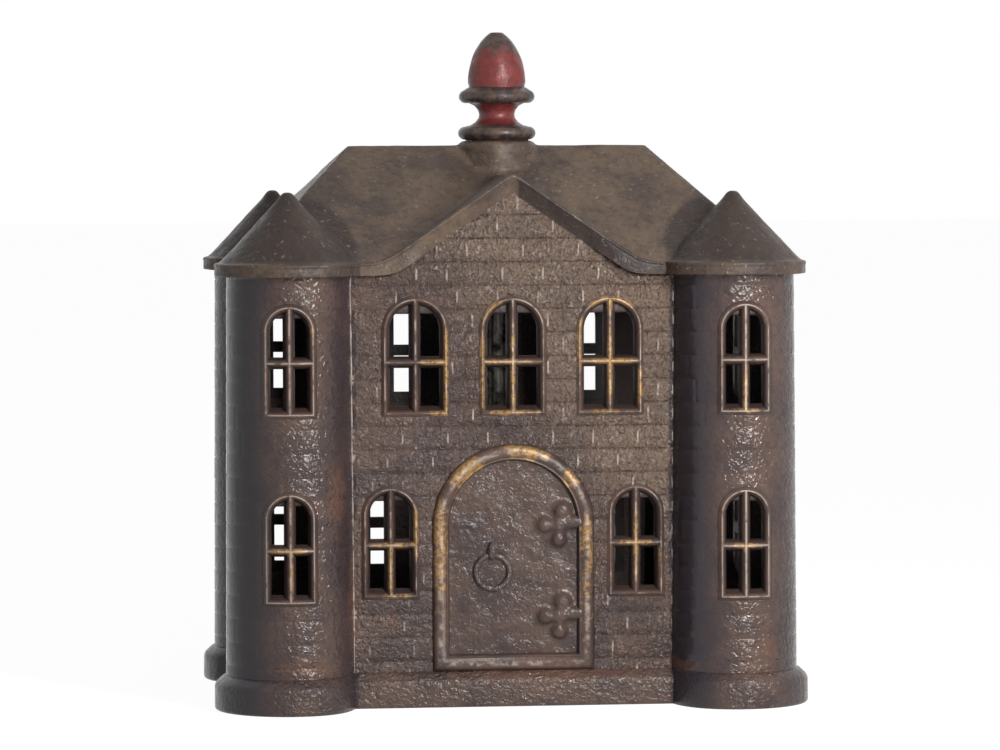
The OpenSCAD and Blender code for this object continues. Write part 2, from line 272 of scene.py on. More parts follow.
def apply_modifiers(obj):
    """Replaces an object's mesh with what its modifiers make of it."""
    depsgraph = bpy.context.evaluated_depsgraph_get()
    mesh = bpy.data.meshes.new_from_object(obj.evaluated_get(depsgraph))
    obj.modifiers.clear()
    old = obj.data
    obj.data = mesh
    bpy.data.meshes.remove(old)
    return obj


def combine(obj, parts, operation):
    """Adds closed bmeshes to an object, or cuts them out of it, one after the other."""
    for part in parts:
        other = new_object(part, "other")
        modifier = obj.modifiers.new("combine", "BOOLEAN")
        modifier.object = other
        modifier.operation = operation
        modifier.solver = "EXACT"
        apply_modifiers(obj)
        mesh = other.data
        bpy.data.objects.remove(other)
        bpy.data.meshes.remove(mesh)
    return obj


def cut(obj, parts):
    return combine(obj, parts, "DIFFERENCE")


def join(parts):
    """Joins several bmeshes into one."""
    whole = bmesh.new()
    for part in parts:
        mesh = bpy.data.meshes.new("join")
        part.to_mesh(mesh)
        part.free()
        whole.from_mesh(mesh)
        bpy.data.meshes.remove(mesh)
    return whole


def marks(bm, name):
    """Layer that keeps a named mark of every vertex."""
    return bm.verts.layers.float.get(name) or bm.verts.layers.float.new(name)


def mark(bm, **levels):
    """Writes the same level of each named mark on all vertices."""
    for name, level in levels.items():
        layer = marks(bm, name)
        for vert in bm.verts:
            vert[layer] = level
    return bm


def mark_places(bm, name, places):
    """Writes how near each vertex of the front lies to the middle of a few places."""
    layer = marks(bm, name)
    for vert in bm.verts:
        x, y, z = vert.co / MM
        if y > 0 or abs(x) > FRONT_REACH:
            vert[layer] = max(0, noise.noise(vert.co / (9 * MM))) * 1.2
            continue
        for middle_x, middle_z, half_x, half_z in places:
            away = math.hypot((x - middle_x) / half_x, (z - middle_z) / half_z)
            vert[layer] = max(vert[layer], 1 - away ** 3)
    return bm


def finish_piece(obj, body, material, nodes, sharp):
    """Cleans a piece's mesh, shades it, gives it its finish, ties it to its body and hides the nodes that it
    stands for.
    """
    bm = bmesh.new()
    bm.from_mesh(obj.data)
    bmesh.ops.remove_doubles(bm, verts=bm.verts[:], dist=MERGE)
    bmesh.ops.dissolve_degenerate(bm, edges=bm.edges[:], dist=MERGE)
    bm.to_mesh(obj.data)
    bm.free()
    obj.data.name = obj.name
    obj.data.materials.clear()
    obj.data.materials.append(material)
    obj.data.shade_smooth()
    obj.data.set_sharp_from_angle(angle=math.radians(sharp))
    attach(obj, body)
    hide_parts(*nodes)
    return obj


def verts_in(items):
    return [item for item in items if isinstance(item, bmesh.types.BMVert)]


def outward(bm):
    """Turns the faces of a closed mesh outwards."""
    bmesh.ops.recalc_face_normals(bm, faces=bm.faces[:])
    return bm


def move(bm, x, y, z):
    bmesh.ops.translate(bm, vec=(x, y, z), verts=bm.verts[:])
    return bm


def turn(bm, matrix):
    bmesh.ops.rotate(bm, cent=(0, 0, 0), matrix=matrix, verts=bm.verts[:])
    return bm


def inset(bm, faces, *rings):
    """Insets faces by rings of (width, rise); the given faces stay the innermost ones."""
    for width, rise in rings:
        bmesh.ops.inset_region(bm, faces=faces, thickness=width, depth=rise, use_even_offset=True,
                               use_boundary=True)


def faced_front(face):
    """Turns a face in the XZ plane so that it faces -Y."""
    face.normal_update()
    if face.normal.y > 0:
        face.normal_flip()
    return face


def close_back(bm, depth):
    """Gives an open skin that faces -Y a flat back at a depth, and closes every rim."""
    made = bmesh.ops.extrude_face_region(bm, geom=bm.faces[:], use_keep_orig=True)["geom"]
    for vert in verts_in(made):
        vert.co.y = depth
    return outward(bm)


def arch_face(bm, width, height, steps=28):
    """Round-headed face in the XZ plane with the middle of its foot at the origin; it faces -Y."""
    spring = height - width / 2
    first = bm.verts.new((width / 2, 0, spring))
    spun = bmesh.ops.spin(bm, geom=[first], cent=(0, 0, spring), axis=(0, -1, 0), angle=math.pi, steps=steps)
    last = verts_in(spun["geom_last"])[0]
    foot_right = bm.verts.new((width / 2, 0, 0))
    foot_left = bm.verts.new((-width / 2, 0, 0))
    for pair in ((last, foot_left), (foot_left, foot_right), (foot_right, first)):
        bm.edges.new(pair)
    return faced_front(bmesh.ops.contextual_create(bm, geom=bm.edges[:])["faces"][0])


def arch_prism(width, height, near, far):
    """Closed round-headed prism that reaches from near to far in front of the origin."""
    bm = bmesh.new()
    arch_face(bm, width, height)
    move(bm, 0, -far, 0)
    return close_back(bm, -near)


def block(low, high, rounding=0.0, segments=3):
    """Closed box between two corners, with rounded edges if wanted."""
    bm = bmesh.new()
    bmesh.ops.create_cube(bm, size=1)
    low, high = Vector(low), Vector(high)
    bmesh.ops.scale(bm, vec=high - low, verts=bm.verts[:])
    bmesh.ops.translate(bm, vec=(low + high) / 2, verts=bm.verts[:])
    if rounding:
        bmesh.ops.bevel(bm, geom=bm.edges[:], offset=rounding, offset_type="OFFSET", segments=segments,
                        profile=0.5, affect="EDGES", material=-1)
    return bm


def hull(points):
    """Closed convex solid over a few points."""
    bm = bmesh.new()
    for point in points:
        bm.verts.new(point)
    made = bmesh.ops.convex_hull(bm, input=bm.verts[:])
    spare = verts_in(made["geom_interior"])
    bmesh.ops.delete(bm, geom=spare, context="VERTS")
    return outward(bm)


def prism_y(outline, half):
    """Closed prism along Y over an outline of (x, z) points."""
    bm = bmesh.new()
    faced_front(bm.faces.new([bm.verts.new((x, -half, z)) for x, z in outline]))
    return close_back(bm, half)


def turned(profile, steps=72, centre=(0, 0), ring=False):
    """Solid turned round an upright axis from (radius, height) points; the profile of a ring is closed."""
    bm = bmesh.new()
    verts = [bm.verts.new((r, 0, z)) for r, z in profile]
    closing = verts[:1] if ring else []
    edges = [bm.edges.new(pair) for pair in zip(verts, verts[1:] + closing)]
    bmesh.ops.spin(bm, geom=verts + edges, cent=(0, 0, 0), axis=(0, 0, 1), angle=2 * math.pi,
                   steps=steps, use_merge=True)
    bmesh.ops.remove_doubles(bm, verts=bm.verts[:], dist=MERGE / 2)
    outward(bm)
    return move(bm, centre[0], centre[1], 0)


def softened(points, radius, segments=4):
    """Profile points with each inner corner rounded, at most by a radius."""
    out = [tuple(points[0])]
    for before, here, after in zip(points, points[1:], points[2:]):
        a, b, c = Vector(before), Vector(here), Vector(after)
        start = b + (a - b).normalized() * min(radius, (a - b).length * 0.45)
        end = b + (c - b).normalized() * min(radius, (c - b).length * 0.45)
        for i in range(segments + 1):
            t = i / segments
            out.append(tuple(start.lerp(b, t).lerp(b.lerp(end, t), t)))
    out.append(tuple(points[-1]))
    return out


# Walls

def tower_radius(z):
    """Outer radius of a tower at a height; the towers draw in a little upwards."""
    h = house()
    return h.tower_base_r + (h.tower_top_r - h.tower_base_r) * z / WALL_TOP


class WallPath:
    """Bends a flat strip into one wall casting: an arc of tower, the flat wall and an arc of tower.

    A strip point has x along the wall in metres of strip, y up and z out of the wall's face.
    """

    TURNS = {"front": 0.0, "right": math.pi / 2, "rear": math.pi, "left": -math.pi / 2}

    def __init__(self, side):
        h = house()
        self.side = side
        self.lengthwise = side in ("front", "rear")
        self.across = h.tower_x if self.lengthwise else h.tower_y
        self.deep = h.tower_y if self.lengthwise else h.tower_x
        self.face = h.bay_y if self.lengthwise else h.side_x
        self.turn = Matrix.Rotation(self.TURNS[side], 3, "Z")
        self.step = bricks().column
        radius = tower_radius(WALL_TOP / 2)
        start, end = self.angles(radius, 0.0)
        self.arc_columns = round(radius * (end - start) / self.step)
        self.flat_columns = 2 * round((self.across + radius * math.cos(end)) / self.step)
        self.columns = 2 * self.arc_columns + self.flat_columns
        self.corners = (self.arc_columns, self.arc_columns + self.flat_columns)
        self.length = self.columns * self.step

    def angles(self, radius, out):
        """Angles of the seam and of the corner with the flat wall, seen from the tower's axis."""
        seam = house().seam
        if self.lengthwise:
            start = math.asin((seam - self.deep) / radius)
        else:
            start = math.acos((seam - self.across) / radius)
        return start, math.pi - math.asin((self.face + out - self.deep) / radius)

    def place(self, point, level_corners=False):
        """World place of a strip point; a strip can keep its corners over those of the wall."""
        column, up, out = point.x / self.step, point.y, point.z
        radius = tower_radius(up) + out
        start, end = self.angles(radius, out)
        beyond = min(column, self.columns - column)
        if level_corners and out > 0:
            wall = tower_radius(up)
            across = wall * math.cos(self.angles(wall, 0)[1])
            reach = math.hypot(across, self.face + out - self.deep)
            end = math.acos(across / reach)
            share = min(max(beyond / self.arc_columns * 3 - 2, 0), 1)
            radius += (reach - radius) * share * share * (3 - 2 * share)
        if beyond < self.arc_columns:
            angle = start + (end - start) * beyond / self.arc_columns
            x = self.across + radius * math.cos(angle)
            y = -self.deep - radius * math.sin(angle)
            if column < self.arc_columns:
                x = -x
        else:
            corner = self.across + radius * math.cos(end)
            x = corner * (2 * (column - self.arc_columns) / self.flat_columns - 1)
            y = -self.face - out
        return self.turn @ Vector((x, y, up))

    def bend(self, bm, level_corners=False):
        """Bends a whole flat mesh round the walls."""
        for vert in bm.verts:
            vert.co = self.place(vert.co, level_corners)
        return bm


def brick_breaks(path, count):
    """Ends of the bricks of every course, in columns, staggered from course to course."""
    b = bricks()
    rng = random.Random(f"courses of the {path.side} wall")
    low, high = path.corners
    courses, last = [], set()
    for _ in range(count):
        breaks = {0, low, high, path.columns}
        for start, end in ((0, low), (low, high), (high, path.columns)):
            at = start + rng.randint(b.shortest // 2, b.longest)
            while end - at >= b.shortest // 2:
                if any(abs(at - other) < 2 for other in last):
                    at += 2
                if end - at >= b.shortest // 2:
                    breaks.add(at)
                at += rng.randint(b.shortest, b.longest)
        courses.append(sorted(breaks))
        last = breaks - set(path.corners)
    return courses


def brick_groups(bm, path, courses):
    """Front faces of the strip, sorted by course and brick."""
    b = bricks()
    groups = {}
    for face in bm.faces:
        if face.normal.z < 0.9:
            continue
        centre = face.calc_center_median()
        course = int((centre.y - b.first) / b.course)
        brick = sum(1 for at in courses[course] if at < centre.x / path.step)
        groups.setdefault((course, brick), []).append(face)
    return groups


def roughness_at(path, x, z):
    """How coarse the brick faces are: most at the gable and to the right, least round the towers. The walls'
    finish also paints a lighter sheen where they are coarse.
    """
    beyond = min(x, path.length - x) / path.step
    flat = min(max((beyond - path.arc_columns + 1) / 2, 0), 1)
    drift = (x / path.length - 0.5) * 2.6 + (z / WALL_TOP - 0.55) * 1.1
    return 0.03 + flat * (0.35 + 0.6 * min(max(0.5 + drift, 0), 1))


def paint_flank_shade(path, bm):
    """Marks the left and right sides of the front towers, and the left wall, for a painted shade where they
    turn from the light.
    """
    whole = marks(bm, "whole")
    h = house()
    for vert in bm.verts:
        if abs(abs(vert.co.x) - h.tower_x) < h.tower_base_r and vert.co.y < -h.bay_y:
            away = (vert.co.x - math.copysign(h.tower_x, vert.co.x)) / h.tower_base_r
            vert[whole] = min(max((-0.1 - away) / 0.6, (away - 0.35) * 1.2, 0), 1)
        elif path.side == "left" or vert.co.x < -h.side_x:
            vert[whole] = 0.8
    return bm


def raise_bricks(bm, path, courses):
    """Splits the face of a strip into its bricks and raises each, a little tilted, out of its joints."""
    b = bricks()
    relief, tone = marks(bm, "relief"), marks(bm, "tone")
    bm.normal_update()
    groups = brick_groups(bm, path, courses)
    brick_of = {face: key for key, faces in groups.items() for face in faces}
    borders = [e for e in bm.edges if len({brick_of[f] for f in e.link_faces if f in brick_of}) == 2]
    fronts = list(brick_of)
    bmesh.ops.split_edges(bm, edges=borders)
    inset(bm, fronts, (b.joint, 0), (b.slope, 0))
    rng = random.Random(f"bricks of the {path.side} wall")
    for key in sorted(groups):
        shade = rng.random()
        rise = b.relief * rng.uniform(0.8, 1.15)
        tilt = Vector((rng.uniform(-1, 1), rng.uniform(-1, 1), 0)) * 0.015
        faces = groups[key]
        middle = sum((f.calc_center_median() for f in faces), Vector()) / len(faces)
        for vert in {v for f in faces for v in f.verts}:
            coarse = roughness_at(path, vert.co.x, vert.co.y)
            bumps = noise.noise(vert.co / (1.4 * MM)) * 0.11 * MM
            raised = rise + tilt.dot(vert.co - middle)
            vert.co.z += raised * (0.38 + 0.62 * coarse) + bumps * coarse
            vert[relief] = 1.0
            vert[tone] = shade
    bmesh.ops.remove_doubles(bm, verts=bm.verts[:], dist=0.005 * MM)


def ruffle_strip_and_mark_highlights(bm, path, courses):
    """Raises ribs in the upright joints, makes the courses uneven and ruffles the corner beside the bay; the
    ribs and that corner are marked for a painted highlight.
    """
    b = bricks()
    relief, rough, inside = (marks(bm, name) for name in ("relief", "rough", "inside"))
    joint_depth, play, rib_half = -b.relief / 2, 0.01 * MM, 0.12 * MM
    for vert in bm.verts:
        along, up, out = vert.co
        vert[rough] = roughness_at(path, along, up)
        row, column = (up - b.first) / b.course, round(along / path.step)
        upright = abs(out - joint_depth) < play and abs(along - column * path.step) < rib_half
        if upright and abs(row - round(row)) > 0.1 and column in courses[int(row)]:
            # The rib is raised and marked for a painted highlight
            vert.co.z += b.relief * (0.4 + 1.5 * vert[rough])
            vert[relief] = 1 + 0.6 * vert[rough]
        vert[inside] = float(vert.co.z < -1 * MM)
        if vert.co.z > -b.relief and 0 < along < path.length and b.first < up:
            spot = vert.co / (2.3 * MM)
            vert.co.x += noise.noise(spot + Vector((5.3, 1.7, 9.4))) * 0.09 * MM
            vert.co.y += noise.noise(spot + Vector((8.1, 6.2, 2.6))) * 0.09 * MM
            # The corner beside the bay is set to a wavy level and marked for a painted highlight line
            if abs(vert.co.x / path.step - path.corners[0]) < 0.2:
                vert.co.z = noise.noise(vert.co / (3 * MM)) * 0.15 * MM
                vert[relief] = 1.4


def brick_strip(path):
    """Wall casting made flat with each brick raised from its joints, then bent round the towers."""
    b = bricks()
    top = (GABLE_TIP if path.lengthwise else WALL_TOP) + 1 * MM
    count = math.ceil((top - b.first) / b.course)
    rows = 3
    courses = brick_breaks(path, count)
    bm = bmesh.new()
    for name in ("relief", "tone", "rough", "inside"):
        marks(bm, name)
    bmesh.ops.create_grid(bm, x_segments=path.columns, y_segments=count * rows, size=0.5)
    move(bm, 0.5, 0.5, 0)
    bmesh.ops.scale(bm, vec=(path.length, count * b.course, 1), verts=bm.verts[:])
    move(bm, 0, b.first, -b.relief / 2)
    bmesh.ops.solidify(bm, geom=bm.faces[:], thickness=house().wall_t)
    raise_bricks(bm, path, courses)
    ruffle_strip_and_mark_highlights(bm, path, courses)
    return paint_flank_shade(path, mark_places(path.bend(bm), "rust", RUST_TRACES))


def window_places(path):
    """Windows of a wall as (place across, foot, width, height, whether it is on a tower)."""
    o = openings()
    if not path.lengthwise:
        return [(0.0, z, o.upper_w, o.lower_h, False) for z in (o.upper_z, o.lower_z)]
    shift = o.rear_shift if path.side == "rear" else 0
    upper = [(i * o.upper_step + shift, o.upper_z, o.upper_w, o.upper_h, False) for i in (-1, 0, 1)]
    lower = [(s * o.lower_x + shift, o.lower_z, o.lower_w, o.lower_h, False) for s in (-1, 1)]
    across = path.across + o.tower_out
    towers = [(s * across, z, o.tower_w, o.tower_h, True) for s in (-1, 1) for z in (o.tower_z, o.lower_z)]
    return upper + lower + towers


def wall_cutters(path):
    """Prisms that open a wall behind its frames and that cut it off under the roof."""
    h, o = house(), openings()
    reach = 30 * MM
    overlap = 0.5 * MM
    parts = []
    for x, z, width, height, on_tower in window_places(path):
        near = path.deep if on_tower else path.face - h.wall_t - 1 * MM
        prism = arch_prism(width - 2 * overlap, height - 2 * overlap, near, path.face + reach)
        parts.append(turn(move(prism, x, 0, z + overlap), path.turn))
    if path.side == "front":
        prism = arch_prism(o.door_w - 4 * overlap, o.door_top - o.door_foot - 4 * overlap,
                           path.face - h.wall_t - 1 * MM, path.face + reach)
        parts.append(move(prism, 0, 0, o.door_foot + 2 * overlap))
    if path.side == "rear":
        parts.append(block((-o.slot_l / 2, path.face - reach, o.slot_z - o.slot_w / 2),
                           (o.slot_l / 2, path.face + reach, o.slot_z + o.slot_w / 2)))
    far, high = 100 * MM, 150 * MM
    outline = [(-far, high), (-far, WALL_TOP), (far, WALL_TOP), (far, high)]
    if path.lengthwise:
        foot = (GABLE_TIP - WALL_TOP) / gable_slope()
        outline[2:2] = [(-foot, WALL_TOP), (0, GABLE_TIP), (foot, WALL_TOP)]
    parts.append(turn(prism_y(outline, far), path.turn))
    return [join(parts)]


def plinth_strip(path):
    """Plinth with the ledge behind it, extruded along the strip and bent round the towers."""
    h = house()
    lip = 0.25 * MM
    behind = -h.wall_t
    outline = [(behind, 0), (h.plinth_out, 0), (h.plinth_out, h.plinth_edge), (lip, h.plinth_h),
               (behind - h.ledge, h.plinth_h), (behind - h.ledge, h.plinth_h - 1.6 * MM),
               (behind, h.plinth_h - 1.6 * MM)]
    profile = softened(outline[:5], 0.8 * MM, 4) + outline[5:]
    bm = bmesh.new()
    verts = [bm.verts.new((0, up, out)) for out, up in profile]
    edges = [bm.edges.new((verts[i - 1], verts[i])) for i in range(len(verts))]
    bmesh.ops.spin(bm, geom=verts + edges, cent=(0, 0, 0), axis=(1, 0, 0), angle=0, steps=path.columns,
                   dvec=(path.step, 0, 0))
    bmesh.ops.holes_fill(bm, edges=[e for e in bm.edges if e.is_boundary])
    outward(bm)
    path.bend(mark(bm, relief=0.8, rough=0.2, tone=0.2), level_corners=True)
    for vert in bm.verts:
        vert.co.z += noise.noise(vert.co / (4 * MM)) * 0.12 * MM * min(vert.co.z / (3 * MM), 1)
    return paint_flank_shade(path, mark_places(bm, "rust", RUST_TRACES))


# Windows and door

def mark_relief(bm, low, high):
    """Writes how high each vertex stands between two levels in front of the wall."""
    relief = marks(bm, "relief")
    for vert in bm.verts:
        vert[relief] = min(max((-vert.co.y - low) / (high - low), 0), 1)
    return bm


def slice_at(bm, place, facing):
    """Adds vertices where a plane meets the mesh."""
    bmesh.ops.bisect_plane(bm, geom=bm.verts[:] + bm.edges[:] + bm.faces[:], plane_co=place, plane_no=facing)


def bar(profile, low, high, level=False):
    """Closed straight bar over a profile of (across, out); it stands upright, or lies level."""
    bm = bmesh.new()
    face = bm.faces.new([bm.verts.new((across, -out, low)) for across, out in profile])
    made = bmesh.ops.extrude_face_region(bm, geom=[face], use_keep_orig=True)["geom"]
    far = verts_in(made)
    bmesh.ops.translate(bm, vec=(0, 0, high - low), verts=far)
    outward(bm)
    if level:
        turn(bm, Matrix.Rotation(-math.pi / 2, 3, "Y"))
    return bm


def window_frame(width, height):
    """Flat window casting with bevelled bars between four panes; its foot is at z = 0, the wall at y = 0."""
    h, o = house(), openings()
    back = -h.wall_t - 0.15 * MM
    foot = 0.1 * MM
    rises = [(o.flare, o.stand * 0.8), (0.16 * MM, o.stand * 0.3), (0.2 * MM, 0.02 * MM)]
    slopes = [(0.14 * MM, -0.12 * MM), (0.55 * MM, -0.6 * MM), (0.35 * MM, -1.3 * MM)]
    ring = bmesh.new()
    face = arch_face(ring, width + 2 * o.flare, height + 2 * o.flare)
    move(ring, 0, foot, -o.flare)
    inset(ring, [face], *rises, *slopes)
    bmesh.ops.delete(ring, geom=[face], context="FACES")
    close_back(ring, -back)
    ridge_out = sum(rise for _, rise in rises) - foot
    ridge_in = sum(step for step, _ in rises) - o.flare
    half = [(o.ridge / 2, ridge_out - 0.01 * MM)]
    for step, rise in slopes:
        half.append((half[-1][0] + step, half[-1][1] + rise))
    half.append((half[-1][0], back + 0.05 * MM))
    profile = [(-across, out) for across, out in reversed(half)] + half
    upright = bar(profile, ridge_in, height - ridge_in)
    crossbar = bar(profile, ridge_in - width / 2, width / 2 - ridge_in, level=True)
    move(crossbar, 0, 0.01 * MM, o.crossbar)
    behind = back + 0.1 * MM
    slope = [(0.1 * MM, behind), (0.1 * MM, ridge_out - 0.1 * MM), (0.4 * MM, ridge_out - 0.4 * MM),
             (1.35 * MM, ridge_out - 2.1 * MM), (1.35 * MM, behind)]
    reach = width / 2 - ridge_in - 0.1 * MM
    sill = move(bar(slope, -reach, reach, level=True), 0, 0, ridge_in)
    side = width / 2 - 1.7 * MM
    crown = block((-side, 1.25 * MM, 0.76 * height - 0.1 * MM + 0.24 * (height - width)),
                  (side, -behind, height - 1.1 * MM), 0.5 * MM)
    frame_parts = join([ring, upright, crossbar, sill, crown])
    for i in range(1, math.ceil(height / (1.5 * MM))):
        slice_at(frame_parts, (0, 0, i * 1.5 * MM), (0, 0, 1))
    for i in range(-6, 7):
        slice_at(frame_parts, (i * MM, 0, 0), (1, 0, 0))
    return mark_relief(frame_parts, -0.4 * MM, o.stand)


def drape_on_tower(bm, path, x, z):
    """Bends a flat window round the front of a tower."""
    off_axis = x - math.copysign(path.across, x)
    for vert in bm.verts:
        radius = tower_radius(z + vert.co.z)
        vert.co.y -= path.deep + math.sqrt(radius ** 2 - (vert.co.x + off_axis) ** 2)
    return move(bm, x, 0, z)


def wall_windows(path):
    """All the frames of a wall in one mesh."""
    parts = []
    for x, z, width, height, on_tower in window_places(path):
        # Tower frames are marked for more painted highlight on their ridges
        bm = mark(window_frame(width, height), bright=float(on_tower))
        if on_tower:
            drape_on_tower(bm, path, x, z)
        else:
            move(bm, x, -path.face, z)
        parts.append(turn(bm, path.turn))
    return mark_places(join(parts), "gilt", GILT_TRACES)


def door_frame():
    """Closed ring of the door's rounded moulding, with a small bead along its inner edge."""
    h, o = house(), openings()
    bm = bmesh.new()
    face = arch_face(bm, o.door_w + 2 * o.flare, o.door_top - o.door_foot + 2 * o.flare, 48)
    move(bm, 0, -h.bay_y + 0.15 * MM, o.door_foot - o.flare)
    slope = [(o.flare, 0.62 * MM)]
    bead = [(0.22 * MM, 0.3 * MM), (0.36 * MM, 0.2 * MM), (0.46 * MM, 0.09 * MM), (0.46 * MM, -0.03 * MM),
            (0.4 * MM, -0.14 * MM), (0.3 * MM, -0.28 * MM)]
    lip = [(0.14 * MM, -0.08 * MM), (0.16 * MM, 0.14 * MM), (0.2 * MM, 0.0), (0.16 * MM, -0.22 * MM)]
    step = [(0.3 * MM, -1.1 * MM)]
    inset(bm, [face], *slope, *bead, *lip, *step)
    bmesh.ops.delete(bm, geom=[face], context="FACES")
    close_back(bm, -h.bay_y + h.wall_t + 0.1 * MM)
    return mark_places(mark_relief(bm, h.bay_y - 0.6 * MM, h.bay_y + 1.1 * MM), "gilt", GILT_TRACES)


class Leaf:
    """Relief of the door's face in millimetres: hinge ends, small bumps and a curved mark."""

    LOBES = ((-2.7, 0.0, 1.55), (0.9, 3.0, 1.7), (0.2, -3.1, 1.5), (0.3, 0.0, 1.75), (2.8, 0.6, 1.4),
             (4.4, 0.6, 1.2))
    HINGES = ((9.3, 37.4), (9.3, 18.4))
    BUMPS = ((4.2, 31.6, 1.0, 0.35), (-1.2, 12.6, 1.6, 0.3), (-3.9, 16.0, 0.8, 0.3), (2.8, 26.2, 0.7, 0.25),
             (7.6, 25.4, 0.9, 0.3), (0.9, 49.0, 0.8, 0.3), (-11.6, 42.6, 0.7, 0.25), (5.6, 12.2, 1.1, 0.25),
             (-9.0, 21.8, 0.6, 0.2), (-11.9, 24.5, 0.5, 0.2))
    MARK = (-10.2, 34.6, 3.1)

    @classmethod
    def height(cls, x, z):
        """Height above the door's face at a place given in millimetres, in metres."""
        total = 0.0
        for hinge_x, hinge_z in cls.HINGES:
            field = 0.0
            for lobe_x, lobe_z, radius in cls.LOBES:
                apart = ((x - hinge_x - lobe_x) ** 2 + (z - hinge_z - lobe_z) ** 2) / radius ** 2
                field += math.exp(-1.4 * apart ** 2.2)
            total += 1.4 * min(field, 1.0) ** 0.6
        for bump_x, bump_z, radius, rise in cls.BUMPS:
            total += rise * math.exp(-((x - bump_x) ** 2 + (z - bump_z) ** 2) / (0.5 * radius ** 2))
        mark_x, mark_z, radius = cls.MARK
        away = math.hypot(x - mark_x, z - mark_z) - radius
        angle = math.degrees(math.atan2(z - mark_z, x - mark_x))
        if 40 < angle < 125:
            total += 0.4 * math.exp(-(away / 0.35) ** 2)
        grain = noise.noise(Vector((x, 0, z)) / 1.1) * 0.08 + noise.noise(Vector((x, 5, z)) / 3.5) * 0.22
        return (total + grain) * MM


def door_leaf():
    """Closed plate of the door, its face worked by the relief; its rim is hidden in the frame."""
    h, o = house(), openings()
    bm = bmesh.new()
    cell = 0.42 * MM
    half_w = o.door_w / 2 - 1.2 * MM
    high = o.door_top - o.door_foot - 2.4 * MM
    bmesh.ops.create_grid(bm, x_segments=round(2 * half_w / cell), y_segments=round(high / cell), size=0.5)
    bmesh.ops.scale(bm, vec=(2 * half_w, high, 1), verts=bm.verts[:])
    turn(bm, Matrix.Rotation(math.pi / 2, 3, "X"))
    move(bm, 0, 0, o.door_foot + 1.2 * MM + high / 2)
    spring = o.door_top - o.door_w / 2
    gone = []
    for face in bm.faces:
        centre = face.calc_center_median()
        if centre.z > spring and math.hypot(centre.x, centre.z - spring) > half_w:
            gone.append(face)
    bmesh.ops.delete(bm, geom=gone, context="FACES")
    for vert in bm.verts:
        vert.co.y = -h.bay_y + o.leaf - Leaf.height(vert.co.x / MM, vert.co.z / MM)
    close_back(bm, -h.bay_y + h.wall_t)
    mark(bm, rough=0.16, tone=1.0)
    return mark_relief(bm, h.bay_y - o.leaf - 0.25 * MM, h.bay_y - o.leaf + 0.4 * MM)


def door_ring():
    """Ring handle that lies on the door, with the drop-shaped stud it hangs from."""
    h, o = house(), openings()
    centre = Vector((-4.3 * MM, -h.bay_y + o.leaf - 0.42 * MM, 27.8 * MM))
    radius, thick = 3.5 * MM, 0.58 * MM
    ring = bmesh.new()
    start = Matrix.Translation(centre + Vector((0, 0, radius))) @ Matrix.Rotation(math.pi / 2, 4, "Y")
    bmesh.ops.create_circle(ring, segments=14, radius=thick, matrix=start)
    bmesh.ops.spin(ring, geom=ring.verts[:] + ring.edges[:], cent=centre, axis=(0, 1, 0), angle=2 * math.pi,
                   steps=56, use_merge=True)
    outward(ring)
    stud = bmesh.new()
    bmesh.ops.create_uvsphere(stud, u_segments=24, v_segments=16, radius=1.0)
    for vert in stud.verts:
        narrow = 1 - 0.25 * vert.co.z
        vert.co = Vector((vert.co.x * 0.9 * narrow, vert.co.y * 1.1, vert.co.z * 1.9)) * MM
    move(stud, -4.5 * MM, centre.y - 0.1 * MM, 32.2 * MM)
    # The relief mark of 1.1 gives the ring a faint painted highlight
    return mark(join([ring, stud]), relief=1.1, rough=0.2, tone=0.6)


# Roof

def gable_slope():
    r = roofing()
    return (r.gable_z - WALL_TOP - r.eave_t) / r.gable_x


def roof_skin_parts():
    """Closed solids that overlap to make the outside of the roof casting."""
    h, r = house(), roofing()
    eave_x, eave_y = h.side_x + r.eave_out, h.bay_y + r.eave_out
    eave_z = WALL_TOP + r.eave_t
    points = [(sx * eave_x, sy * eave_y, z) for sx, sy in CORNERS for z in (WALL_TOP, eave_z)]
    points += [(s * r.ridge_half, 0, r.ridge_z) for s in (-1, 1)]
    gable = [(-r.gable_x, WALL_TOP + 1 * MM), (r.gable_x, WALL_TOP + 1 * MM), (r.gable_x, eave_z),
             (0.9 * MM, r.gable_z - 0.5 * MM), (-0.9 * MM, r.gable_z - 0.5 * MM), (-r.gable_x, eave_z)]
    cap = [(0, WALL_TOP), (r.cap_r, WALL_TOP), (r.cap_r, eave_z), (r.cap_r - 1.0 * MM, eave_z + 0.35 * MM),
           (2.2 * MM, r.cap_z - 1.7 * MM), (1.1 * MM, r.cap_z), (0, r.cap_z)]
    boss_low = ROOF_TOP - 16 * MM
    boss = [(0, boss_low), (r.boss_r - 0.3 * MM, boss_low), (r.boss_r, ROOF_TOP), (0, ROOF_TOP)]
    parts = [hull(points), prism_y(gable, eave_y - 1.6 * MM), turned(softened(boss, 0.5 * MM), 64)]
    for sx, sy in CORNERS:
        parts.append(turned(softened(cap, 0.9 * MM, 4), 64, (sx * h.tower_x, sy * h.tower_y)))
    return parts


def gable_opening(half, tip):
    """Prism under a gable whose feet run out in soft curves."""
    slope = gable_slope()
    low = WALL_TOP - 2 * MM
    run = 3.0 * MM
    corner = Vector(((tip - WALL_TOP) / slope, WALL_TOP))
    start = corner + Vector((run, 0))
    end = corner + Vector((-run, slope * run))
    curve = [start.lerp(corner, t).lerp(corner.lerp(end, t), t) for t in (i / 5 for i in range(6))]
    right = [(start.x, low)] + [tuple(point) for point in curve] + [(0, tip)]
    left = [(-x, z) for x, z in reversed(right[:-1])]
    return prism_y(right + left, half)


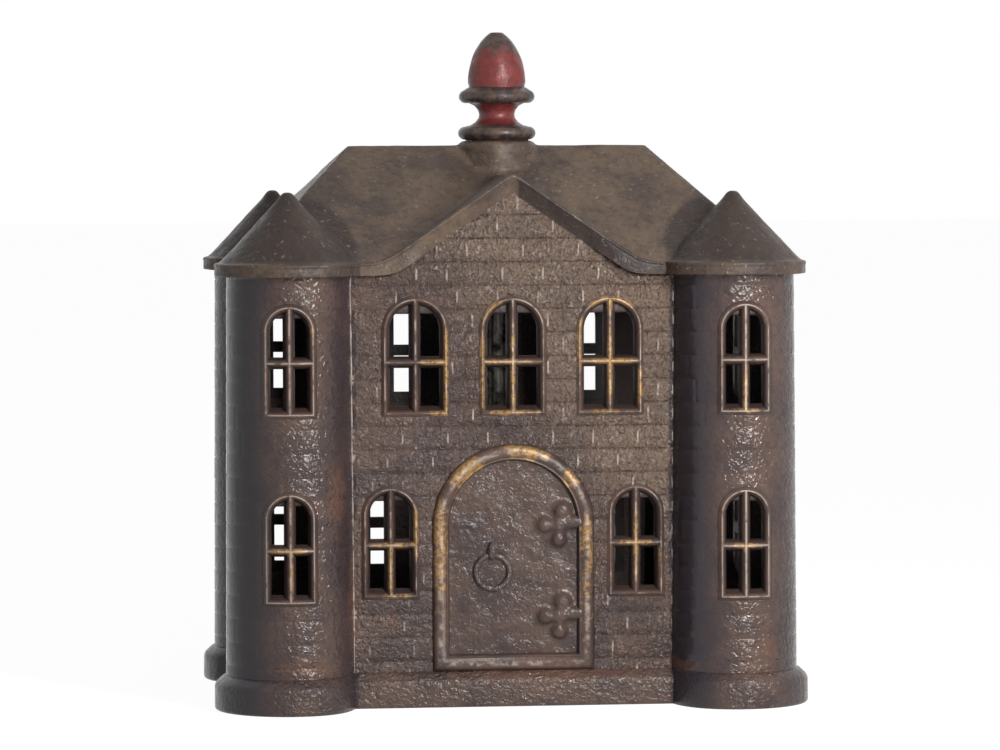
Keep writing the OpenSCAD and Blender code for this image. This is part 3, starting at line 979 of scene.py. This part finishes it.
def roof_hollow_parts():
    """Closed solids that hollow the roof out from below."""
    h, r, b = house(), roofing(), bolt_sizes()
    low = WALL_TOP - 1 * MM
    thick = 1.6 * h.wall_t
    eave_x, eave_y = h.side_x + r.eave_out - thick, h.bay_y + r.eave_out - thick
    eave_z = WALL_TOP + r.eave_t
    points = [(sx * eave_x, sy * eave_y, z) for sx, sy in CORNERS for z in (low, eave_z - 1 * MM)]
    points += [(s * (r.ridge_half - 2 * MM), 0, r.ridge_z - thick) for s in (-1, 1)]
    parts = [hull(points), gable_opening(h.bay_y + 0.3 * MM, GABLE_TIP + 0.3 * MM),
             gable_opening(h.bay_y + 10 * MM, r.gable_z - r.trim_h)]
    cone = [(0, low), (r.cap_r - 3.9 * MM, low), (r.cap_r - 3.9 * MM, eave_z), (0.6 * MM, r.cap_z - 4.5 * MM),
            (0, r.cap_z - 4.5 * MM)]
    for sx, sy in CORNERS:
        parts.append(turned(cone, 48, (sx * h.tower_x, sy * h.tower_y)))
    bore = b.bolt_d / 2 + ROOF_CLEARANCE
    bore_low, bore_high = ROOF_TOP - 18 * MM, ROOF_TOP + 2 * MM
    parts.append(turned([(0, bore_low), (bore, bore_low), (bore, bore_high), (0, bore_high)], 48))
    return parts


def roof_lugs():
    """Lugs under the roof that keep it in place on the walls, and the core round the bolt."""
    h, b = house(), bolt_sizes()
    low, high = WALL_TOP - 3 * MM, WALL_TOP + 5 * MM
    gap, thick = 0.3 * MM, 1.5 * MM
    parts = []
    for s in (-1, 1):
        at = s * (h.side_x - h.wall_t - gap - thick / 2)
        parts.append(block((at - thick / 2, -4 * MM, low), (at + thick / 2, 4 * MM, high), 0.3 * MM))
        for t in (-1, 1):
            deep = t * (h.bay_y - h.wall_t - gap - thick / 2)
            across = s * 30 * MM
            parts.append(block((across - 2 * MM, deep - thick / 2, low),
                               (across + 2 * MM, deep + thick / 2, high), 0.3 * MM))
    bore = b.bolt_d / 2 + ROOF_CLEARANCE
    core_r, core_low, core_high = 5.2 * MM, ROOF_TOP - 13 * MM, ROOF_TOP - 1 * MM
    core = [(bore, core_low), (core_r, core_low), (core_r, core_high), (bore, core_high)]
    return parts + [turned(core, 48, ring=True)]


def gable_trim(side):
    """Board along the edge of a gable: a lip above and a face that falls back towards the wall."""
    h, r = house(), roofing()
    slope = gable_slope()
    front = h.bay_y + r.eave_out
    section = [(-3.0, 0.0), (-0.1, -0.02), (0.22, 0.05), (0.24, 0.14), (0.06, 0.2), (-0.1, 0.26),
               (-0.35, 0.36), (-1.75, 0.92), (-1.85, 1.0), (-3.0, 1.0)]
    foot = WALL_TOP + r.eave_t - 0.1 * MM
    reach = r.gable_x + 5.5 * MM
    bm = bmesh.new()
    rings = []
    count = 84
    for i in range(count + 1):
        x = reach * (2 * i / count - 1)
        away = math.hypot(x, 0.8 * MM)
        up, low = r.gable_z + 0.3 * MM - slope * away, r.gable_z - r.trim_h - slope * abs(x)
        up = (up + foot + math.hypot(up - foot, 1.6 * MM)) / 2
        low = (low + WALL_TOP + math.hypot(low - WALL_TOP, 1.2 * MM)) / 2
        wave = noise.noise(Vector((x, side * front, up)) / (5 * MM)) * 0.12 * MM
        flat = min(max((abs(x) - 15 * MM) / (6.5 * MM), 0), 1)
        verts = []
        for out, t in section:
            if -2 < out < 0 < t:
                out += (0.14 - out) * flat
            verts.append(bm.verts.new((x, side * (front + out * MM + wave), up + (low - up) * t)))
        edges = [bm.edges.new((verts[k - 1], verts[k])) for k in range(len(verts))]
        if i in (0, count):
            bm.faces.new(verts)
        rings.append(edges)
    for first, second in zip(rings, rings[1:]):
        bmesh.ops.bridge_loops(bm, edges=first + second)
    outward(bm)
    # Painted shade: the right-hand board is marked darker than the left
    tone = bm.verts.layers.float.new("tone")
    for vert in bm.verts:
        vert[tone] = 1.0 if vert.co.x > 1 * MM else 0.1
    return bm


def cap_rim(x, y):
    """Crisp band round the foot of a tower cap, with a fine lip along its top."""
    r = roofing()
    low, high = WALL_TOP + 0.02 * MM, WALL_TOP + r.eave_t
    out = r.cap_r + 0.03 * MM
    profile = softened([(out - 2 * MM, low), (out, low), (out - 0.05 * MM, high - 0.5 * MM),
                        (out + 0.08 * MM, high - 0.4 * MM), (out + 0.08 * MM, high + 0.2 * MM),
                        (out - 2 * MM, high + 0.75 * MM)], 0.45 * MM, 3)
    bm = turned(profile, 96, ring=True)
    for vert in bm.verts:
        vert.co.z += noise.noise(vert.co / (5 * MM)) * 0.1 * MM
    return move(mark(bm, tone=0.35), x, y, 0)


def roof_casting():
    """Roof casting: plain solids joined and hollowed, then fused into one softened skin."""
    skin = roof_skin_parts()
    obj = new_object(skin[0], "roof_casting")
    combine(obj, skin[1:], "UNION")
    cut(obj, roof_hollow_parts())
    fuse = obj.modifiers.new("fuse", "REMESH")
    fuse.mode = "VOXEL"
    fuse.voxel_size = roofing().voxel
    soften = obj.modifiers.new("soften", "SMOOTH")
    soften.factor = 0.5
    soften.iterations = 3
    apply_modifiers(obj)
    bm = bmesh.new()
    bm.from_mesh(obj.data)
    tone = bm.verts.layers.float.new("tone")
    h, r = house(), roofing()
    for vert in bm.verts:
        grain = noise.noise(vert.co / (2.6 * MM)) * 0.06 + noise.noise(vert.co / (9 * MM)) * 0.12
        vert.co += vert.normal * grain * MM
        # Tone: the caps are darker, and their sides that face left are darker still, which is painted shade
        away = math.hypot(abs(vert.co.x) - h.tower_x, abs(vert.co.y) - h.tower_y)
        left = min(max(0.95 - 0.2 * vert.normal.x, 0), 1)
        vert[tone] = min(max((r.cap_r - 0.3 * MM - away) / (1.2 * MM), 0), 1) * left
    bm.to_mesh(obj.data)
    bm.free()
    return obj


# Finial and bolt

def arc_points(centre, radius_r, radius_z, start, end, count=8):
    """Points on an elliptic arc of a profile, angles in degrees from straight out towards up."""
    out = []
    for i in range(count + 1):
        angle = math.radians(start + (end - start) * i / count)
        out.append((centre[0] + radius_r * math.cos(angle), centre[1] + radius_z * math.sin(angle)))
    return out


def finial_profile():
    """Profile of the acorn nut above its seat, from the axis to the tip."""
    f = finial_sizes()
    foot_r, cup_r, neck_r, acorn_r, acorn_h = (
        size / MM for size in (f.foot_r, f.cup_r, f.neck_r, f.acorn_r, f.acorn_h))
    foot = arc_points((foot_r - 1.5, 1.6), 1.5, 1.4, -90, 62, 10)
    neck = [(5.6, 3.25), (4.6, 3.9), (neck_r + 0.12, 4.8), (neck_r, 5.6), (neck_r + 0.25, 6.5), (4.7, 7.4),
            (5.9, 8.0)]
    cup = arc_points((cup_r - 1.5, 9.35), 1.5, 1.4, -75, 72, 10)
    shelf = [(6.45, 11.1), (acorn_r - 0.2, 11.35), (acorn_r - 0.2, 11.6)]
    rest = [(acorn_r, 12.4), (0.977 * acorn_r, 14.4), (0.9 * acorn_r, 16.7), (0.755 * acorn_r, 19.0),
            (0.5 * acorn_r, 21.4), (0.24 * acorn_r, 22.75), (0.19 * acorn_r, acorn_h), (0, acorn_h + 0.03)]
    whole = [(0, 0), (6.6, 0)] + foot + neck + cup + shelf + softened(rest, 3, 5)
    return [(radius * MM, height * MM) for radius, height in whole]


def finial_nut():
    """Acorn nut, turned, with the slight waviness of an old casting, and bored for the bolt."""
    bm = turned(finial_profile(), 96)
    for vert in bm.verts:
        out = Vector((vert.co.x, vert.co.y, 0))
        if out.length > 1 * MM and vert.co.z > 0.2 * MM:
            vert.co += out.normalized() * noise.noise(vert.co / (3.2 * MM)) * 0.08 * MM
    obj = new_object(move(bm, 0, 0, FINIAL_LOW), "acorn_nut_finial")
    radius = bolt_sizes().bolt_d / 2 + THREAD_CLEARANCE
    bore = turned([(0, -2 * MM), (radius, -2 * MM), (radius, 9.8 * MM), (0, 10.6 * MM)], 48)
    return cut(obj, [move(bore, 0, 0, FINIAL_LOW)])


def screw_thread(radius, low, high):
    """Closed helical ridge round a shank."""
    b = bolt_sizes()
    steps = 28
    turns = int((high - low) / b.pitch) - 1
    bm = bmesh.new()
    root = radius - THREAD_DEPTH
    section = [(root, -0.42 * b.pitch), (radius, -0.07 * b.pitch), (radius, 0.07 * b.pitch),
               (root, 0.42 * b.pitch), (root - 0.2 * MM, 0)]
    verts = [bm.verts.new((r, 0, low + b.pitch + z)) for r, z in section]
    face = bm.faces.new(verts)
    bmesh.ops.spin(bm, geom=[face] + face.edges[:] + verts, cent=(0, 0, 0), axis=(0, 0, 1),
                   angle=2 * math.pi * turns, dvec=(0, 0, b.pitch / steps), steps=steps * turns)
    return outward(bm)


def through_bolt():
    """Bolt with a slotted head, a plain shank and a threaded end."""
    b = bolt_sizes()
    root = b.bolt_d / 2 - THREAD_DEPTH
    shank = b.bolt_d / 2 - 0.03 * MM
    thread_low = BOLT_TOP - b.thread_l
    neck = BOLT_LOW + b.head_h
    head = b.head_d / 2
    profile = [(0, BOLT_LOW), (head, BOLT_LOW), (head, neck), (shank, neck), (shank, thread_low),
               (root, thread_low + 0.4 * MM), (root, BOLT_TOP - 0.5 * MM), (root - 0.5 * MM, BOLT_TOP),
               (0, BOLT_TOP)]
    obj = new_object(turned(softened(profile, 0.3 * MM, 3), 64), "through_bolt_steel")
    slot = block((-b.head_d, -0.6 * MM, BOLT_LOW - 1 * MM), (b.head_d, 0.6 * MM, BOLT_LOW + 1.1 * MM))
    cut(obj, [slot])
    bm = bmesh.new()
    bm.from_mesh(obj.data)
    whole = join([bm, screw_thread(b.bolt_d / 2, thread_low + 0.5 * MM, BOLT_TOP - 0.8 * MM)])
    whole.to_mesh(obj.data)
    whole.free()
    return obj


# Materials

def add_node(tree, kind, vector=None, **levels):
    """New node, with a linked vector input and the levels of its other inputs."""
    node = tree.nodes.new(f"ShaderNode{kind}")
    if vector is not None:
        tree.links.new(vector, node.inputs["Vector"])
    for name, level in levels.items():
        node.inputs[name.replace("_", " ")].default_value = level
    return node


class Finish:
    """Builder of one material whose patterns follow the piece in millimetres.

    It keeps the colour and the normal so far, and each coat and each bump is laid over them.
    """

    def __init__(self, name):
        self.material = bpy.data.materials.new(name)
        self.material.use_nodes = True
        self.tree = self.material.node_tree
        self.shader = next(n for n in self.tree.nodes if n.type == "BSDF_PRINCIPLED")
        self.colour = None
        self.normal = None
        coordinates = self.add("TexCoord")
        scaled = self.add("Mapping", coordinates.outputs["Object"], Scale=(1 / MM, 1 / MM, 1 / MM))
        self.place = scaled.outputs["Vector"]

    def add(self, kind, vector=None, **levels):
        return add_node(self.tree, kind, vector, **levels)

    def feed(self, socket, value):
        """Links a socket to another one, or sets it to a number or a colour."""
        if isinstance(value, bpy.types.NodeSocket):
            self.tree.links.new(value, socket)
        elif isinstance(value, (int, float)):
            socket.default_value = value
        else:
            socket.default_value = (*value, 1)

    def noise(self, size, detail=3.0, gain=0.5, twist=0.0, stretch=(1, 1, 1), shift=0.0):
        """Noise whose features are about a size in millimetres."""
        mapping = self.add("Mapping", self.place, Scale=stretch, Location=(shift, shift, shift))
        node = self.add("TexNoise", mapping.outputs["Vector"], Scale=1 / size, Detail=detail,
                        Roughness=gain, Distortion=twist)
        return node.outputs["Fac"]

    def spread(self, value, low, high, out_low=0.0, out_high=1.0):
        """Smooth step of a value between two levels."""
        node = self.add("MapRange", From_Min=low, From_Max=high, To_Min=out_low, To_Max=out_high)
        node.interpolation_type = "SMOOTHSTEP"
        self.feed(node.inputs["Value"], value)
        return node.outputs["Result"]

    def math(self, operation, a, b):
        node = self.add("Math")
        node.operation = operation
        self.feed(node.inputs[0], a)
        self.feed(node.inputs[1], b)
        return node.outputs["Value"]

    def product(self, first, *others):
        for other in others:
            first = self.math("MULTIPLY", first, other)
        return first

    def blend(self, factor, a, b):
        """Mix of two colours."""
        node = self.add("Mix")
        node.data_type = "RGBA"
        self.feed(node.inputs["Factor"], factor)
        sockets = [s for s in node.inputs if s.type == "RGBA"]
        self.feed(sockets[0], a)
        self.feed(sockets[1], b)
        return next(s for s in node.outputs if s.type == "RGBA")

    def coat(self, factor, over):
        """Lays a colour over the colour so far."""
        self.colour = self.blend(factor, self.colour, over)

    def attribute(self, name):
        node = self.add("Attribute")
        node.attribute_name = name
        return node.outputs["Fac"]

    def height(self):
        """Height above the ground, in millimetres."""
        return self.add("SeparateXYZ", self.place).outputs["Z"]

    def bump(self, height, distance):
        """Bump over those so far, whose height of 1 stands a distance in millimetres high."""
        node = self.add("Bump", Distance=distance * MM)
        self.feed(node.inputs["Height"], height)
        if self.normal is not None:
            self.tree.links.new(self.normal, node.inputs["Normal"])
        self.normal = node.outputs["Normal"]

    def done(self, roughness, metallic, gloss=0.5):
        """Finished material."""
        self.feed(self.shader.inputs["Base Color"], self.colour)
        self.feed(self.shader.inputs["Roughness"], roughness)
        self.feed(self.shader.inputs["Metallic"], metallic)
        self.shader.inputs["Specular IOR Level"].default_value = gloss
        self.tree.links.new(self.normal, self.shader.inputs["Normal"])
        return self.material


def worn_iron(name, base, rust_share=0.0):
    """Start of a finish of old japanned iron: whole and worn japan, grime and thin rust."""
    f = finishes()
    m = Finish(name)
    m.colour = m.blend(m.spread(m.noise(11, 4, 0.6), 0.36, 0.60, 0.45, 1.0), f.blue_iron_and_flank_shade, base)
    m.coat(m.spread(m.noise(1.5, 5, 0.72, shift=64), 0.46, 0.64, 0.0, 0.4), f.iron_dark)
    brown = m.noise(5.5, 5, 0.7, shift=12)
    m.coat(m.spread(brown, 0.60 - rust_share, 0.76 - rust_share, 0.0, 0.4), f.rust)
    return m


def brick_japan():
    """Japanned iron of the brick walls, with painted shade on the flanks and painted sheen and highlights."""
    f = finishes()
    m = worn_iron("brick_japan", f.iron)
    relief, tone, rough = m.attribute("relief"), m.attribute("tone"), m.attribute("rough")
    rust, whole, inside = m.attribute("rust"), m.attribute("whole"), m.attribute("inside")
    # Lighter where the bricks are coarse, most at the gable and to the right: partly iron rubbed bare, partly
    # a painted sheen
    m.coat(m.spread(rough, 0.7, 1.0, 0.0, 0.65), f.bare_iron_and_sheen)
    m.coat(m.product(tone, 0.25), f.iron_dark)
    # Painted shade: the tower flanks and the left wall are painted dark blue
    m.coat(m.product(whole, 0.97), f.blue_iron_and_flank_shade)
    stain = m.math("ADD", m.product(rust, 0.4), m.noise(2.0, 5, 0.75, shift=21))
    m.coat(m.spread(stain, 0.62, 0.95, 0, 0.5), f.rust)
    m.coat(m.product(m.spread(relief, 0.0, 0.7, 1.0, 0.0), rough, 0.6), f.iron_dark)
    chisel = m.noise(0.65, 3, 0.6, 1.0, (1, 1, 0.7), 7)
    hammered = m.noise(1.2, 1, 0.4, 0.8, (1, 1, 1.25), 3)
    worn = m.spread(m.noise(6, 3, 0.6, shift=50), 0.40, 0.60)
    # Painted shade: darker in the hollows of the chiselled bump where the bricks are coarse
    m.coat(m.product(m.spread(chisel, 0.34, 0.50, 1.0, 0.0), m.spread(rough, 0.2, 0.9), 0.6), f.iron_dark)
    # Painted highlights: light glints on the peaks of the chiselled bump where the bricks are coarse
    painted_glints = m.product(m.spread(chisel, 0.55, 0.68), worn, m.spread(rough, 0.1, 0.7), 0.35)
    # Painted highlights along the upright ribs, the corner beside the bay and the door ring
    rubbed = m.spread(m.noise(3, 3, 0.7, shift=9), 0.28, 0.52)
    ribs = m.product(m.spread(relief, 1.05, 1.35), rubbed, 0.7)
    m.coat(m.math("MAXIMUM", painted_glints, ribs), f.glint)
    m.coat(m.product(inside, 0.9), f.raw)
    m.bump(m.product(chisel, rough), 0.8)
    # The hammered bump is weaker where the flank shade is painted
    bare = m.math("SUBTRACT", 1.0, m.product(whole, 0.9))
    m.bump(m.product(hammered, bare, m.spread(tone, 0.85, 1.0, 1.0, 0.3)), 0.48)
    sheen = m.spread(m.noise(2.4, 4, 0.6, shift=19), 0.35, 0.65, 0.10, 0.27)
    return m.done(m.math("MAXIMUM", sheen, m.product(inside, 0.9)), 0.0, 0.32)


def roof_japan():
    """Japanned iron of the roof, mottled olive and brown, with painted shade on the caps and the right gable
    board.
    """
    f = finishes()
    m = worn_iron("roof_japan", f.iron_roof)
    # Painted shade where the tone mark is high: the caps, most on their left sides, and the right gable board
    m.coat(m.product(m.attribute("tone"), 0.85), f.iron_dark)
    m.coat(m.spread(m.noise(1.0, 5, 0.7, 0.4, shift=77), 0.60, 0.70, 0, 0.4), f.glint)
    m.bump(m.noise(2.4, 3, 0.5, shift=40), 0.3)
    m.bump(m.noise(0.9, 4, 0.6, 0.3, shift=5), 0.2)
    return m.done(m.spread(m.noise(2.7, 3, 0.5, shift=23), 0.3, 0.7, 0.28, 0.5), 0.0, 0.2)


def gilt_frames():
    """Iron frames with traces of old bronze paint left on their ridges, painted shadow at their feet and
    painted highlights on their ridges.
    """
    f = finishes()
    m = worn_iron("gilt_frames", f.iron, 0.03)
    relief = m.attribute("relief")
    # Painted shadow: darker where a frame sinks to the wall and into the window
    m.coat(m.spread(relief, 0.25, 0.85, 0.75, 0.0), f.iron_dark)
    patches = m.math("ADD", m.noise(1.6, 4, 0.7, shift=61), m.product(m.attribute("gilt"), 0.36))
    flakes = m.spread(m.noise(0.7, 3, 0.7, shift=5), 0.40, 0.52, 0.15, 1.0)
    gold = m.product(m.spread(patches, 0.60, 0.86), m.spread(relief, 0.40, 0.75), 0.85, flakes)
    m.coat(gold, f.gilt)
    # Painted highlights: light spots along the frame ridges, more on the tower windows
    spots = m.math("ADD", m.noise(2.5, 3, 0.6, shift=88), m.product(m.attribute("bright"), 0.12))
    m.coat(m.product(m.spread(relief, 0.88, 1.0), m.spread(spots, 0.44, 0.64), 0.6), f.glint)
    m.bump(m.noise(0.6, 3, 0.6, shift=2), 0.12)
    return m.done(m.spread(gold, 0, 1, 0.34, 0.4), m.product(gold, 0.3), 0.3)


def red_paint():
    """Red paint worn through to dark iron at the tip and the rings."""
    f = finishes()
    m = Finish("red_paint")
    up = m.math("SUBTRACT", m.height(), FINIAL_LOW / MM)
    rings = m.math("ADD", m.spread(up, 2.6, 4.2, 1, 0), m.spread(up, 7.2, 8.3))
    rings = m.math("SUBTRACT", rings, m.spread(up, 10.9, 11.8))
    bare = m.math("ADD", rings, m.spread(up, 16.5, 22.5, 0, 0.9))
    chips = m.noise(3.4, 5, 0.65, 0.4, shift=14)
    gone = m.spread(m.math("ADD", m.product(bare, 0.42), chips), 0.60, 0.74)
    iron = m.blend(m.spread(m.noise(2.0, 4, 0.6, shift=33), 0.35, 0.7), f.iron_dark, f.iron)
    m.colour = m.blend(m.spread(m.noise(1.6, 4, 0.6, shift=4), 0.35, 0.7), f.red, f.red_dark)
    m.coat(gone, iron)
    m.bump(m.noise(1.9, 3, 0.55, 0.2, shift=8), 0.2)
    m.bump(m.noise(0.5, 3, 0.6), 0.05)
    return m.done(m.spread(m.noise(2.3, 3, 0.5, shift=9), 0.3, 0.7, 0.24, 0.5), 0.1, 0.4)


def oiled_steel():
    """Dull oiled steel."""
    f = finishes()
    m = Finish("oiled_steel")
    stain = m.spread(m.noise(3.0, 4, 0.6), 0.4, 0.7)
    m.colour = m.blend(stain, f.steel, f.iron_dark)
    m.bump(m.noise(0.4, 3, 0.6, stretch=(1, 1, 0.25)), 0.02)
    return m.done(m.spread(stain, 0, 1, 0.32, 0.55), 0.85)


def brown_plate():
    """Bare cast iron gone brown."""
    m = worn_iron("brown_plate", finishes().iron, 0.08)
    m.bump(m.noise(0.9, 4, 0.6), 0.12)
    return m.done(m.spread(m.noise(3), 0.3, 0.7, 0.5, 0.75), 0.2)


# Stage

def seen_rays(tree):
    """Factor that is 1 for camera, glossy and transmission rays."""
    rays = add_node(tree, "LightPath")
    seen = rays.outputs["Is Camera Ray"]
    for kind in ("Is Glossy Ray", "Is Transmission Ray"):
        total = add_node(tree, "Math")
        total.operation = "ADD"
        total.use_clamp = True
        tree.links.new(seen, total.inputs[0])
        tree.links.new(rays.outputs[kind], total.inputs[1])
        seen = total.outputs["Value"]
    return seen


def make_floor():
    """Pale floor that is white where no shadow falls."""
    bm = bmesh.new()
    bmesh.ops.create_grid(bm, x_segments=1, y_segments=1, size=6)
    floor = new_object(bm, "floor")
    material = bpy.data.materials.new("pale_floor")
    material.use_nodes = True
    tree = material.node_tree
    tree.nodes.clear()
    diffuse = add_node(tree, "BsdfDiffuse", Color=(0.8, 0.8, 0.8, 1))
    glow = add_node(tree, "Emission", Color=(1, 1, 1, 1), Strength=1.2)
    share = add_node(tree, "Math")
    share.operation = "MULTIPLY"
    share.inputs[1].default_value = 0.8
    tree.links.new(seen_rays(tree), share.inputs[0])
    mix = add_node(tree, "MixShader")
    out = add_node(tree, "OutputMaterial")
    tree.links.new(share.outputs["Value"], mix.inputs["Fac"])
    tree.links.new(diffuse.outputs["BSDF"], mix.inputs[1])
    tree.links.new(glow.outputs["Emission"], mix.inputs[2])
    tree.links.new(mix.outputs["Shader"], out.inputs["Surface"])
    floor.data.materials.append(material)


def make_world():
    """White background for the camera and for gloss, with a plain grey light from all round."""
    world = bpy.data.worlds.new("studio")
    world.use_nodes = True
    bpy.context.scene.world = world
    tree = world.node_tree
    background = next(n for n in tree.nodes if n.type == "BACKGROUND")
    background.inputs["Color"].default_value = (1, 1, 1, 1)
    level = add_node(tree, "MapRange", To_Min=ALL_ROUND_LEVEL, To_Max=1.0)
    tree.links.new(seen_rays(tree), level.inputs["Value"])
    tree.links.new(level.outputs["Result"], background.inputs["Strength"])


def direction(azimuth, elevation):
    """Unit vector towards a place given in degrees; azimuth 0 is in front of the door."""
    a, e = math.radians(azimuth), math.radians(elevation)
    return Vector((math.sin(a) * math.cos(e), -math.cos(a) * math.cos(e), math.sin(e)))


def make_lamp(name, azimuth, elevation, distance, width, height, power):
    """Soft light that is aimed at the middle of the bank."""
    target = Vector((0, 0, 0.07))
    light = bpy.data.lights.new(name, "AREA")
    light.shape = "RECTANGLE"
    light.size = width
    light.size_y = height
    light.energy = power
    lamp = bpy.data.objects.new(name, light)
    bpy.context.scene.collection.objects.link(lamp)
    towards = direction(azimuth, elevation)
    lamp.location = target + towards * distance
    lamp.rotation_euler = towards.to_track_quat("Z", "Y").to_euler()


def make_camera():
    """Camera at the place that the photograph was taken from."""
    image_w = 1000
    focal_px = 4461.2
    sensor = 36.0
    target = Vector((0.50 * MM, 0, 67.05 * MM))
    distance = 950.1 * MM
    azimuth, elevation, roll = -6.10, 2.92, -0.21
    camera = bpy.data.cameras.new("camera")
    camera.sensor_width = sensor
    camera.lens = focal_px / image_w * sensor
    camera.clip_start = 0.05
    camera.clip_end = 30
    obj = bpy.data.objects.new("camera", camera)
    bpy.context.scene.collection.objects.link(obj)
    back = direction(azimuth, elevation)
    obj.location = target + back * distance
    rolled = Matrix.Rotation(math.radians(roll), 4, "Z")
    obj.rotation_euler = (back.to_track_quat("Z", "Y").to_matrix().to_4x4() @ rolled).to_euler()
    bpy.context.scene.camera = obj


# Operators

class PieceOperator:
    """Shared settings of the operators."""

    bl_options = {"REGISTER", "UNDO"}


class BANK_OT_stage(PieceOperator, bpy.types.Operator):
    """Sets up the floor, the lights, the background and the camera"""

    bl_idname = "bank.stage"
    bl_label = "Stage"

    def execute(self, context):
        make_floor()
        make_world()
        make_lamp("key_light", *KEY_LIGHT)
        make_lamp("front_light", *FRONT_LIGHT)
        make_camera()
        context.scene.view_settings.view_transform = "Standard"
        return {"FINISHED"}


class BANK_OT_walls(PieceOperator, bpy.types.Operator):
    """Builds the four brick castings"""

    bl_idname = "bank.walls"
    bl_label = "Brick walls"

    def execute(self, context):
        material = brick_japan()
        for side in WallPath.TURNS:
            path = WallPath(side)
            obj = new_object(brick_strip(path), f"{side}_wall_bricks")
            cut(obj, wall_cutters(path))
            finish_piece(obj, "walls", material, [f"{side}_wall"], 55)
        return {"FINISHED"}


class BANK_OT_plinths(PieceOperator, bpy.types.Operator):
    """Builds the plinth of each wall casting"""

    bl_idname = "bank.plinths"
    bl_label = "Plinths"

    def execute(self, context):
        material = bpy.data.materials["brick_japan"]
        for side in WallPath.TURNS:
            obj = new_object(plinth_strip(WallPath(side)), f"{side}_wall_plinth")
            finish_piece(obj, "walls", material, [f"{side}_wall"], 40)
        return {"FINISHED"}


class BANK_OT_windows(PieceOperator, bpy.types.Operator):
    """Builds the window frames of each wall casting"""

    bl_idname = "bank.windows"
    bl_label = "Window frames"

    def execute(self, context):
        material = gilt_frames()
        for side in WallPath.TURNS:
            obj = new_object(wall_windows(WallPath(side)), f"{side}_wall_windows")
            finish_piece(obj, "walls", material, [f"{side}_wall"], 40)
        return {"FINISHED"}


class BANK_OT_door(PieceOperator, bpy.types.Operator):
    """Builds the door in the front wall with its moulding, ring and hinge ends"""

    bl_idname = "bank.door"
    bl_label = "Door"

    def execute(self, context):
        for build, name, material, sharp in ((door_frame, "door_moulding", "gilt_frames", 50),
                                             (door_leaf, "door_leaf", "brick_japan", 60),
                                             (door_ring, "door_ring", "brick_japan", 60)):
            obj = new_object(build(), name)
            finish_piece(obj, "walls", bpy.data.materials[material], ["front_wall"], sharp)
        return {"FINISHED"}


class BANK_OT_roof(PieceOperator, bpy.types.Operator):
    """Builds the roof casting with its gables, caps and boss"""

    bl_idname = "bank.roof"
    bl_label = "Roof"

    def execute(self, context):
        h = house()
        rims = [cap_rim(sx * h.tower_x, sy * h.tower_y) for sx, sy in CORNERS]
        trims = [gable_trim(-1), gable_trim(1)]
        material = roof_japan()
        finish_piece(roof_casting(), "roof_casting", material, ["roof"], 45)
        for parts, name, sharp in ((roof_lugs(), "roof_casting_lugs", 40), (rims, "roof_cap_rims", 30),
                                   (trims, "roof_gable_trims", 40)):
            obj = new_object(join(parts), name)
            finish_piece(obj, "roof_casting", material, ["roof"], sharp)
        return {"FINISHED"}


class BANK_OT_finial(PieceOperator, bpy.types.Operator):
    """Builds the acorn nut on the roof"""

    bl_idname = "bank.finial"
    bl_label = "Acorn nut"

    def execute(self, context):
        finish_piece(finial_nut(), "acorn_nut", red_paint(), ["finial"], 50)
        return {"FINISHED"}


class BANK_OT_bolt(PieceOperator, bpy.types.Operator):
    """Builds the bolt that holds the bank together"""

    bl_idname = "bank.bolt"
    bl_label = "Through bolt"

    def execute(self, context):
        finish_piece(through_bolt(), "bolt", oiled_steel(), ["through_bolt"], 35)
        return {"FINISHED"}


class BANK_OT_base_plate(PieceOperator, bpy.types.Operator):
    """Gives the base plate its finish"""

    bl_idname = "bank.base_plate"
    bl_label = "Base plate"

    def execute(self, context):
        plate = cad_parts["base_plate"]
        plate.data.materials.clear()
        plate.data.materials.append(brown_plate())
        return {"FINISHED"}


class BANK_PT_panel(bpy.types.Panel):
    """Lists the pieces of the bank and their sizes"""

    bl_idname = "BANK_PT_panel"
    bl_label = "House bank"
    bl_space_type = "VIEW_3D"
    bl_region_type = "UI"
    bl_category = "House bank"

    def draw(self, context):
        for operator in OPERATORS:
            self.layout.operator(operator.bl_idname)
        for group in GROUPS:
            settings = getattr(context.scene, group)
            box = self.layout.box()
            for name in settings.__annotations__:
                box.prop(settings, name)


GROUPS = {
    "bank_house": HouseSizes,
    "bank_bricks": BrickSizes,
    "bank_openings": OpeningSizes,
    "bank_roof": RoofSizes,
    "bank_finial": FinialSizes,
    "bank_bolt": BoltSizes,
    "bank_finishes": Finishes,
}
OPERATORS = [
    BANK_OT_stage,
    BANK_OT_walls,
    BANK_OT_plinths,
    BANK_OT_windows,
    BANK_OT_door,
    BANK_OT_roof,
    BANK_OT_finial,
    BANK_OT_bolt,
    BANK_OT_base_plate,
]


def register():
    for cls in (*GROUPS.values(), *OPERATORS, BANK_PT_panel):
        bpy.utils.register_class(cls)
    for name, cls in GROUPS.items():
        setattr(bpy.types.Scene, name, PointerProperty(type=cls))


def unregister():
    for name in GROUPS:
        delattr(bpy.types.Scene, name)
    for cls in (BANK_PT_panel, *reversed(OPERATORS), *reversed(list(GROUPS.values()))):
        bpy.utils.unregister_class(cls)


def main():
    register()
    bpy.ops.bank.stage()
    bpy.ops.bank.walls()
    bpy.ops.bank.plinths()
    bpy.ops.bank.windows()
    bpy.ops.bank.door()
    bpy.ops.bank.roof()
    bpy.ops.bank.finial()
    bpy.ops.bank.bolt()
    bpy.ops.bank.base_plate()


if __name__ == "__main__":
    main()
